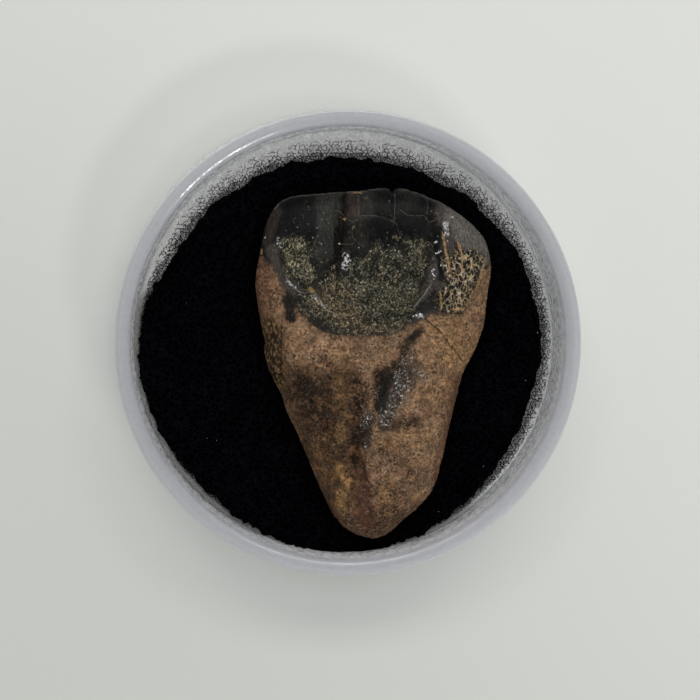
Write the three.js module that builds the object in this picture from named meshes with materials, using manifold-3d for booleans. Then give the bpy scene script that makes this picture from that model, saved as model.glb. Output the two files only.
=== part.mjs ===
// A ceratopsian tooth that lies in the foam of a small round display cup, in millimetres.
// +Z is up, +Y runs from the root's tip to the worn edge of the crown, and the origin is the
// centre of the cup's underside.
import * as THREE from 'three';
import { mergeVertices } from 'three/addons/utils/BufferGeometryUtils.js';
import Module from 'manifold-3d';

const wasm = await Module();
wasm.setup();

// Display cup: a straight-walled moulding with a low foot ring under its floor
const cupRadius = 19;
const cupHeight = 14;
const wall = 1.05;
const floorThickness = 1;
const footHeight = 0.4;
const footWidth = 2.4;
const cornerRadius = 0.7;
const rimRounding = 0.25;
const cupSegments = 84;

// Foam: a round two-ply insert, black on white, that has slid a little towards the root's tip
const foamBottom = footHeight + floorThickness;
const bondHeight = 5.9;
const whiteLipHeight = 7.6;
const foamTop = 8.5;
const foamRadius = 17.4;
const foamCentre = [0.1, -0.3];
const foamSegments = 72;
const lipRounding = 0.5;
const layerClearance = 0.3;
// The black ply stops short on the side of the crown, where the white ply shows as a crescent:
// turns in degrees from +X with the radius that the black ply reaches there
const blackReach = [
  [0, 16.4], [45, 15.7], [90, 15.4], [135, 15.8], [158, 16.3], [180, 17.3], [225, 17.3],
  [262, 17.3], [288, 17.3], [310, 16.5], [335, 16.3], [360, 16.4],
];
const ragged = [[11, 0.05, 0.4], [17, 0.05, 1.3]];

// Tooth: its own frame has the origin at the middle of its outline, where its widest line lies
const toothPlace = [2.23, -1.85, 10.5];
const flatSpot = -4.25;
const toothLength = 28.8;
const edgeRounding = 0.9;
const tipRounding = 5.5;
const toothRows = 50;
const toothColumns = 29;
const hollowRows = 26;
const hollowColumns = 14;
const hollowClearance = 0.45;

// Outline of the tooth seen from above, from the crown's corners down both sides to the tip
const leftSide = [
  [-8.1, 13.2], [-8.7, 11.8], [-9.3, 9.5], [-9.7, 6.7], [-9.5, 4.7], [-9.0, 1.9], [-9.0, 1.0],
  [-8.7, -0.3], [-7.6, -2.6], [-7.1, -4.1], [-6.0, -6.4], [-5.0, -8.9], [-3.8, -11.3],
  [-2.3, -13.5], [-1.3, -14.2], [-0.1, -14.4],
];
const rightSide = [
  [8.7, 10.9], [9.3, 9.9], [9.7, 8.0], [9.4, 5.5], [9.1, 3.1], [8.4, 1.2], [7.7, -0.2],
  [7.2, -1.4], [6.7, -3.5], [6.0, -6.4], [5.2, -9.7], [4.2, -11.3], [2.4, -13.0],
  [1.2, -14.0], [-0.1, -14.4],
];
const wornEdge = [
  [-8.1, 13.2], [-7.2, 13.6], [-5.7, 13.9], [-3.6, 14.1], [-1.1, 14.2], [0.2, 14.4],
  [1.8, 14.4], [3.0, 14.3], [4.7, 13.6], [6.1, 13.0], [7.3, 12.1], [8.7, 10.9],
];

// Height of the upper face and depth of the underside along the tooth, from worn edge to tip
const upperProfile = [1.3, 2.2, 3.0, 3.9, 4.4, 4.6, 4.5, 4.3, 4.0, 3.5, 2.9];
const lowerProfile = [1.1, 2.4, 3.4, 4.1, 4.4, 4.5, 4.4, 4.2, 3.8, 3.3, 2.7];
const upperSquareness = 2.7;
const lowerSquareness = 2.2;

// Relief of the upper face: round forms [x, y, half width, half length, height]
const upperForms = [
  [-0.6, 6.9, 4.6, 3.4, -1.0],
  [3.6, 6.9, 1.6, 2.6, -0.35],
  [0.3, -2.5, 0.9, 1.7, -0.75],
  [-4.6, -3.2, 1.5, 2.8, -0.3],
  [3.4, -7.6, 2.4, 4.4, 0.35],
  [-8.2, 0.9, 0.7, 1.6, 0.35],
  [5.5, 0.2, 2.0, 2.2, 0.2],
];
// Ridges and grooves of the upper face: path, half width, height
const upperLines = [
  { path: [[-7.9, 10.2], [-7.5, 8.1], [-6.9, 6.6], [-6.1, 5.9], [-5.0, 5.6]], width: 0.55, height: 0.4 },
  { path: [[-5.0, 5.6], [-4.4, 5.0], [-3.4, 4.3]], width: 0.5, height: 0.3 },
  { path: [[5.3, 12.6], [5.9, 10.6], [6.1, 8.4], [6.3, 6.0], [5.5, 4.6]], width: 0.6, height: 0.45 },
  { path: [[4.9, 6.6], [3.7, 5.0], [2.9, 4.5]], width: 0.5, height: 0.3 },
  { path: [[-2.5, 13.8], [-2.7, 11.4], [-2.9, 9.2], [-3.2, 6.8]], width: 0.5, height: -0.3 },
  { path: [[-1.8, -1.2], [-1.9, -3.1], [-1.6, -5.5], [-1.4, -8.0]], width: 0.7, height: -0.7 },
  { path: [[-1.4, -8.0], [-1.1, -10.0], [-0.8, -12.6]], width: 0.9, height: -0.35 },
  { path: [[3.0, 1.5], [1.9, -0.6], [1.2, -2.6], [-0.4, -5.3]], width: 0.55, height: 0.45 },
  { path: [[-2.7, -0.6], [-2.9, -3.9], [-2.7, -7.2], [-2.4, -11.0]], width: 0.8, height: 0.25 },
  { path: [[-7.5, 2.9], [-7.6, 1.1], [-7.3, -1.4]], width: 0.45, height: -0.4 },
];
// The hidden face: a keel down the crown with a flute on each side, and a groove in the root
const lowerForms = [
  [-4.6, 8.5, 1.8, 3.6, -0.45],
  [4.6, 8.0, 1.8, 3.4, -0.45],
];
const lowerLines = [
  { path: [[0.3, 13.0], [0.2, 8.5], [0.0, 4.0]], width: 0.9, height: 0.5 },
  { path: [[0.2, -4.0], [0.1, -8.0], [-0.1, -11.5]], width: 1.0, height: -0.5 },
];

const finishes = {
  tooth: { color: 0x5a4738, roughness: 0.55, metalness: 0 },
  black: { color: 0x0b0c0e, roughness: 1, metalness: 0 },
  white: { color: 0xd9dad6, roughness: 1, metalness: 0 },
  plastic: { color: 0xc4c5cc, roughness: 0.2, metalness: 0, transparent: true, opacity: 0.35 },
};

function namedMesh(name, geometry, finish) {
  const mesh = new THREE.Mesh(geometry, new THREE.MeshStandardMaterial(finish));
  mesh.name = name;
  return mesh;
}

function merged(geometry) {
  const bare = geometry.clone();
  bare.deleteAttribute('normal');
  bare.deleteAttribute('uv');
  return mergeVertices(bare, 1e-5);
}

function solidOf(geometry) {
  const closed = merged(geometry);
  return new wasm.Manifold(new wasm.Mesh({
    numProp: 3,
    vertProperties: Float32Array.from(closed.attributes.position.array),
    triVerts: Uint32Array.from(closed.index.array),
  }));
}

function geometryOf(solid) {
  const mesh = solid.getMesh();
  const geometry = new THREE.BufferGeometry();
  geometry.setAttribute('position', new THREE.BufferAttribute(mesh.vertProperties, 3));
  geometry.setIndex(new THREE.BufferAttribute(mesh.triVerts, 1));
  return geometry;
}

function splineOf(points) {
  return new THREE.SplineCurve(points.map(([x, y]) => new THREE.Vector2(x, y)));
}

// Value of an evenly spaced profile at t from 0 to 1, smooth between its entries
function profileAt(profile, t) {
  const place = t * (profile.length - 1);
  const index = Math.min(Math.floor(place), profile.length - 2);
  const blend = THREE.MathUtils.smoothstep(place - index, 0, 1);
  const straight = place - index;
  const mix = (blend + straight) / 2;
  return THREE.MathUtils.lerp(profile[index], profile[index + 1], mix);
}

// Quarter-round rise from 0 at an edge to 1 at the given radius
function roundOff(distance, radius) {
  const t = THREE.MathUtils.clamp(distance / radius, 0, 1);
  return Math.sqrt(1 - (1 - t) ** 2);
}

function distanceToPath(x, y, path) {
  let nearest = Infinity;
  for (let i = 0; i + 1 < path.length; i += 1) {
    const [ax, ay] = path[i];
    const [bx, by] = path[i + 1];
    const along = ((x - ax) * (bx - ax) + (y - ay) * (by - ay)) / ((bx - ax) ** 2 + (by - ay) ** 2);
    const t = THREE.MathUtils.clamp(along, 0, 1);
    nearest = Math.min(nearest, Math.hypot(x - ax - t * (bx - ax), y - ay - t * (by - ay)));
  }
  return nearest;
}

function reliefAt(x, y, forms, lines) {
  let height = 0;
  for (const [formX, formY, halfWidth, halfLength, rise] of forms) {
    height += rise * Math.exp(-(((x - formX) / halfWidth) ** 2) - ((y - formY) / halfLength) ** 2);
  }
  for (const line of lines) {
    height += line.height * Math.exp(-((distanceToPath(x, y, line.path) / line.width) ** 2));
  }
  return height;
}

// Closed loft of the tooth: rows run across it, each a flattened ring over and under the widest
// line. The first row is the worn edge and the last closes on the root's tip.
function toothGeometry(rows, columns, clearance) {
  const left = splineOf(leftSide);
  const right = splineOf(rightSide);
  const edge = splineOf(wornEdge);
  const spread = [1 + clearance / 9.7, 1 + clearance / (toothLength / 2)];
  const positions = [];
  const ringSize = columns * 2;
  const cornerLeft = left.getPointAt(0);
  const cornerRight = right.getPointAt(0);

  function pointAt(across, along, isUpper) {
    const start = left.getPointAt(along);
    const end = right.getPointAt(along);
    const onEdge = edge.getPointAt(across);
    const bulge = Math.max(0, 1 - along / 0.3) ** 2;
    const straightX = THREE.MathUtils.lerp(cornerLeft.x, cornerRight.x, across);
    const straightY = THREE.MathUtils.lerp(cornerLeft.y, cornerRight.y, across);
    const x = THREE.MathUtils.lerp(start.x, end.x, across) + (onEdge.x - straightX) * bulge;
    const y = THREE.MathUtils.lerp(start.y, end.y, across) + (onEdge.y - straightY) * bulge;
    const squareness = isUpper ? upperSquareness : lowerSquareness;
    const section = Math.sqrt(Math.max(0, 1 - Math.abs(2 * across - 1) ** squareness));
    const ends = roundOff(along * toothLength, edgeRounding)
      * roundOff((1 - along) * toothLength, tipRounding);
    const body = profileAt(isUpper ? upperProfile : lowerProfile, along);
    const relief = isUpper
      ? reliefAt(x, y, upperForms, upperLines)
      : reliefAt(x, y, lowerForms, lowerLines);
    const height = (body + clearance + relief * section) * section * ends;
    const z = isUpper ? height : Math.max(-height, flatSpot);
    return [x * spread[0], y * spread[1], z];
  }

  for (let row = 0; row < rows; row += 1) {
    const even = row / rows;
    const along = 0.6 * even + 0.4 * (1 - Math.cos(Math.PI * even)) / 2;
    for (let step = 0; step < ringSize; step += 1) {
      const isUpper = step <= columns;
      const part = isUpper ? step / columns : (ringSize - step) / columns;
      const across = 0.45 * part + 0.55 * (1 - Math.cos(Math.PI * part)) / 2;
      positions.push(...pointAt(across, along, isUpper));
    }
  }
  positions.push(...pointAt(0.5, 1, true));

  const tip = rows * ringSize;
  const triangles = [];
  for (let row = 0; row < rows; row += 1) {
    for (let step = 0; step < ringSize; step += 1) {
      const here = row * ringSize + step;
      const next = row * ringSize + ((step + 1) % ringSize);
      if (row === rows - 1) {
        triangles.push(here, tip, next);
      } else {
        triangles.push(here, here + ringSize, next);
        triangles.push(next, here + ringSize, next + ringSize);
      }
    }
  }
  const geometry = new THREE.BufferGeometry();
  geometry.setAttribute('position', new THREE.Float32BufferAttribute(positions, 3));
  geometry.setIndex(triangles);
  return withoutSlivers(mergeVertices(geometry, 1e-4));
}

// Drops the triangles that collapsed where both faces share the worn edge
function withoutSlivers(geometry) {
  const kept = [];
  const index = geometry.index.array;
  for (let i = 0; i < index.length; i += 3) {
    const [a, b, c] = [index[i], index[i + 1], index[i + 2]];
    if (a !== b && b !== c && c !== a) {
      kept.push(a, b, c);
    }
  }
  geometry.setIndex(kept);
  return geometry;
}

function cup() {
  const inner = cupRadius - wall;
  const corner = [0, 1, 2, 3].map((step) => {
    const turn = (step / 3) * (Math.PI / 2);
    return [
      cupRadius - cornerRadius + cornerRadius * Math.sin(turn),
      cornerRadius - cornerRadius * Math.cos(turn),
    ];
  });
  const profile = [
    [0, footHeight],
    [cupRadius - cornerRadius - footWidth, footHeight],
    [cupRadius - cornerRadius - footWidth + footHeight, 0],
    ...corner,
    [cupRadius, cupHeight - rimRounding],
    [cupRadius - rimRounding, cupHeight],
    [inner + rimRounding, cupHeight],
    [inner, cupHeight - rimRounding],
    [inner, foamBottom + rimRounding],
    [inner - rimRounding, foamBottom],
    [0, foamBottom],
  ];
  const points = profile.map(([radius, height]) => new THREE.Vector2(radius, height));
  const geometry = new THREE.LatheGeometry(points, cupSegments);
  geometry.rotateX(Math.PI / 2);
  return namedMesh('display_cup', withoutSlivers(merged(geometry)), finishes.plastic);
}

function reachAt(degrees) {
  const last = blackReach.findIndex(([turn]) => turn >= degrees);
  const [endTurn, endRadius] = blackReach[Math.max(last, 1)];
  const [startTurn, startRadius] = blackReach[Math.max(last, 1) - 1];
  const blend = THREE.MathUtils.smoothstep(degrees, startTurn, endTurn);
  return THREE.MathUtils.lerp(startRadius, endRadius, blend);
}

// The black ply's body: its hand-cut outline, made wider by a clearance where it cuts the white
function blackPly(clearance) {
  const outline = new THREE.Shape();
  for (let i = 0; i < foamSegments; i += 1) {
    const turn = (i / foamSegments) * Math.PI * 2;
    let radius = reachAt(THREE.MathUtils.radToDeg(turn)) + clearance;
    for (const [waves, height, phase] of ragged) {
      radius += height * Math.sin(waves * turn + phase);
    }
    const x = foamCentre[0] + radius * Math.cos(turn);
    const y = foamCentre[1] + radius * Math.sin(turn);
    if (i === 0) {
      outline.moveTo(x, y);
    } else {
      outline.lineTo(x, y);
    }
  }
  const ply = new THREE.ExtrudeGeometry(outline, { depth: foamTop - bondHeight, bevelEnabled: false });
  ply.translate(0, 0, bondHeight);
  return solidOf(ply);
}

function whiteFoam() {
  const points = [
    new THREE.Vector2(0, foamBottom),
    new THREE.Vector2(foamRadius, foamBottom),
    new THREE.Vector2(foamRadius, whiteLipHeight - lipRounding),
    new THREE.Vector2(foamRadius - lipRounding, whiteLipHeight),
    new THREE.Vector2(0, whiteLipHeight),
  ];
  const disc = new THREE.LatheGeometry(points, foamSegments);
  disc.rotateX(Math.PI / 2);
  disc.translate(...foamCentre, 0);
  const ply = solidOf(withoutSlivers(merged(disc))).subtract(blackPly(layerClearance));
  return namedMesh('white_foam_layer', geometryOf(ply), finishes.white);
}

function blackFoam() {
  const hollow = toothGeometry(hollowRows, hollowColumns, hollowClearance);
  hollow.translate(...toothPlace);
  const pressed = blackPly(0).subtract(solidOf(hollow));
  return namedMesh('black_foam_layer', geometryOf(pressed), finishes.black);
}

function tooth() {
  const mesh = namedMesh('tooth', toothGeometry(toothRows, toothColumns, 0), finishes.tooth);
  mesh.position.set(...toothPlace);
  return mesh;
}

const model = new THREE.Group();
model.add(cup(), whiteFoam(), blackFoam(), tooth());

export default model;
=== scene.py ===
"""A ceratopsian tooth lying in the two-ply foam of a small round display cup."""

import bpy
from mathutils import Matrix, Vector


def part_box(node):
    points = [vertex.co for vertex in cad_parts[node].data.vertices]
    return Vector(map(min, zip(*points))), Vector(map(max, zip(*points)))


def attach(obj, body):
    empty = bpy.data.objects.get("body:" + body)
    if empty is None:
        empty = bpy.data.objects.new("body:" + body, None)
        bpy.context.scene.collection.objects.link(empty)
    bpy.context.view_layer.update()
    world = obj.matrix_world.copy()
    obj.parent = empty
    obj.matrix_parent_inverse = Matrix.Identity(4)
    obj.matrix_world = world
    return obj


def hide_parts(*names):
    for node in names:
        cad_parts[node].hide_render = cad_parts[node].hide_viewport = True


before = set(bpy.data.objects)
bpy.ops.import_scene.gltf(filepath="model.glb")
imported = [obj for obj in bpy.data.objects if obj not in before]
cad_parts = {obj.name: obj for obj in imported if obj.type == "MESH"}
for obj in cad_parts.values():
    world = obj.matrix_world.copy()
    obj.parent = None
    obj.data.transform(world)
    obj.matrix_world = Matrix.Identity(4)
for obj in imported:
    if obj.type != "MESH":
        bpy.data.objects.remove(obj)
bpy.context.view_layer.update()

import math

import bpy
import numpy as np
from mathutils import Matrix, Vector, kdtree

MM = 0.001

# Places and sizes in millimetres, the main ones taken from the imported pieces
black_low, black_high = (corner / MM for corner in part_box("black_foam_layer"))
white_low, white_high = (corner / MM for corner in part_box("white_foam_layer"))
tooth_low, tooth_high = (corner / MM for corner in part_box("tooth"))
CUP_RADIUS, _, CUP_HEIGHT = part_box("display_cup")[1] / MM
WALL = 1.05
RIM_ROUNDING = 0.12
# How the rim rolls over into the cup: radius, depth under the rim
LIP_SLOPE = [
    (18.5, 0.0), (18.32, 0.016), (18.22, 0.034), (18.0, 0.073), (17.9, 0.12), (17.81, 0.24),
    (17.72, 0.5), (17.62, 1.1), (17.52, 2.0), (17.47, 2.8), (17.6, 3.4),
]
# Depth under the rim from which the inner wall is straight
LIP_DEPTH = 4.2
FOOT_HEIGHT = 0.4
FOOT_WIDTH = 2.4
CORNER = 0.7
FOAM_BOTTOM = white_low.z
BOND = black_low.z
WHITE_LIP = white_high.z
FOAM_TOP = black_high.z
FOAM_RADIUS = (white_high.x - white_low.x) / 2
FOAM_CENTRE = np.array([0.1, -0.3])
# Radius that the solid part of the black ply reaches about the foam's middle: degrees from +X, mm
BLACK_REACH = [
    (0, 16.3), (25, 16.1), (45, 15.75), (70, 15.35), (90, 15.3), (110, 15.5), (135, 15.75),
    (150, 15.95), (160, 16.4), (172, 17.1), (196, 17.35), (206, 17.3), (213, 17.05), (222, 16.95),
    (240, 17.25), (257, 17.75), (272, 17.9), (285, 17.6), (298, 17.0), (320, 16.45), (340, 16.25),
    (360, 16.3),
]
# Radius of the circle on which the black ply's border takes its random lumps
BORDER_CIRCLE = 17.0
# How near the black ply may come to the cup's wall, and how far out the white one is pressed
WALL_GAP = 0.08
WHITE_REACH = 17.42
WHITE_ROUNDING = 0.3
# Loose struts beyond the black ply's border: size of their net, how far they reach, seed
FRINGE_LAYERS = [(0.36, 1.6, 101), (0.3, 1.05, 103), (0.25, 0.6, 107)]
# Pale specks caught on the black foam: x, y, radius
SPECKS = [
    (16.06, 0.48, 0.06), (15.06, -3.52, 0.05), (-11.5, -8.2, 0.045), (-10.7, -8.4, 0.035),
    (11.56, -10.7, 0.06), (7.8, -14.5, 0.05), (-13.2, 3.1, 0.03), (12.4, 9.6, 0.035),
]

# The tooth's own frame: its origin, and its outline from the crown's corners to the root's tip
TOOTH_PLACE = np.array([2.23, -1.85, 10.5])
FLAT_SPOT = tooth_low.z - TOOTH_PLACE[2]
TOOTH_LENGTH = 28.8
# Where the camera's foot stands in the tooth's frame, and its height over the outline's plane
CAMERA_FOOT = (-15.1, 21.7)
CAMERA_RISE = 252.0
EDGE_ROUNDING = 0.9
TIP_ROUNDING = 5.5
LEFT_SIDE = [
    (-8.15, 12.85), (-8.75, 11.8), (-9.3, 9.5), (-9.7, 6.7), (-9.5, 4.7), (-9.0, 1.9), (-9.0, 1.0),
    (-8.7, -0.3), (-7.6, -2.6), (-7.1, -4.1), (-6.0, -6.4), (-5.0, -8.9), (-3.95, -11.3),
    (-3.5, -12.3), (-2.9, -13.05), (-2.2, -13.7), (-1.3, -14.2), (-0.1, -14.4),
]
RIGHT_SIDE = [
    (8.7, 10.9), (9.3, 9.9), (9.7, 8.0), (9.4, 5.5), (9.1, 3.1), (8.4, 1.2), (7.7, -0.2),
    (7.2, -1.4), (6.7, -3.5), (6.0, -6.4), (5.2, -9.7), (4.2, -11.3), (2.4, -13.0),
    (1.2, -14.0), (-0.1, -14.4),
]
WORN_EDGE = [
    (-8.15, 12.85), (-7.7, 13.35), (-7.0, 13.68), (-5.7, 13.9), (-3.6, 14.1), (-1.1, 14.2), (0.2, 14.4),
    (1.8, 14.4), (3.0, 14.3), (4.7, 13.6), (6.1, 13.0), (7.3, 12.1), (8.7, 10.9),
]
UPPER_PROFILE = [1.3, 2.2, 3.0, 3.9, 4.4, 4.6, 4.5, 4.3, 4.0, 3.5, 2.9]
LOWER_PROFILE = [1.1, 2.4, 3.4, 4.1, 4.4, 4.5, 4.4, 4.2, 3.8, 3.3, 2.7]
UPPER_SQUARENESS = 2.7
LOWER_SQUARENESS = 2.2

# Relief that the solid has too. Round forms: x, y, half width, half length, height
UPPER_FORMS = [
    (-0.6, 6.9, 4.6, 3.4, -1.0), (3.6, 6.9, 1.6, 2.6, -0.35), (0.3, -2.5, 0.9, 1.7, -0.75),
    (-4.6, -3.2, 1.5, 2.8, -0.3), (3.4, -7.6, 2.4, 4.4, 0.35), (-8.2, 0.9, 0.7, 1.6, 0.35),
    (5.5, 0.2, 2.0, 2.2, 0.2),
]
LIP_LEFT = [(-7.9, 10.2), (-7.5, 8.1), (-6.9, 6.6), (-6.1, 5.9), (-5.0, 5.6)]
LIP_LOW = [(-5.0, 5.6), (-4.4, 5.0), (-3.4, 4.3)]
LOBE_RIB = [(5.3, 12.6), (5.9, 10.6), (6.1, 8.4), (6.3, 6.0), (5.5, 4.6)]
LIP_RIGHT = [(4.9, 6.6), (3.7, 5.0), (2.9, 4.5)]
CROWN_GROOVE = [(-2.5, 13.8), (-2.7, 11.4), (-2.9, 9.2), (-3.2, 6.8)]
ROOT_SULCUS = [(-1.8, -1.2), (-1.9, -3.1), (-1.6, -5.5), (-1.4, -8.0)]
TIP_STRIPE = [(-1.4, -8.0), (-1.1, -10.0), (-0.8, -12.6)]
WET_RIDGE = [(3.0, 1.5), (1.9, -0.6), (1.2, -2.6), (-0.4, -5.3)]
TAN_RIDGE = [(-2.7, -0.6), (-2.9, -3.9), (-2.7, -7.2), (-2.4, -11.0)]
MARGIN_GROOVE = [(-7.5, 2.9), (-7.6, 1.1), (-7.3, -1.4)]
# Ridges and grooves: path, half width, height
UPPER_LINES = [
    (LIP_LEFT, 0.55, 0.4), (LIP_LOW, 0.5, 0.3), (LOBE_RIB, 0.6, 0.45), (LIP_RIGHT, 0.5, 0.3),
    (CROWN_GROOVE, 0.5, -0.3), (ROOT_SULCUS, 0.7, -0.7), (TIP_STRIPE, 0.9, -0.35),
    (WET_RIDGE, 0.55, 0.45), (TAN_RIDGE, 0.8, 0.25), (MARGIN_GROOVE, 0.45, -0.4),
]
LOWER_FORMS = [(-4.6, 8.5, 1.8, 3.6, -0.45), (4.6, 8.0, 1.8, 3.4, -0.45)]
LOWER_LINES = [
    ([(0.3, 13.0), (0.2, 8.5), (0.0, 4.0)], 0.9, 0.5),
    ([(0.2, -4.0), (0.1, -8.0), (-0.1, -11.5)], 1.0, -0.5),
]

# Where the dark crown meets the brown root
CROWN_LINE = [
    (-9.9, 9.1), (-8.7, 8.3), (-8.0, 7.5), (-7.5, 6.2), (-6.9, 5.2), (-6.1, 4.2), (-5.1, 3.1),
    (-4.0, 2.5), (-2.3, 2.2), (0.1, 2.2), (2.0, 2.5), (2.9, 3.1), (3.9, 3.4), (4.8, 3.9),
    (5.5, 4.1), (6.5, 4.0), (7.4, 4.1), (7.8, 5.0), (8.5, 6.0), (9.1, 7.5), (9.9, 8.5),
]

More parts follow.
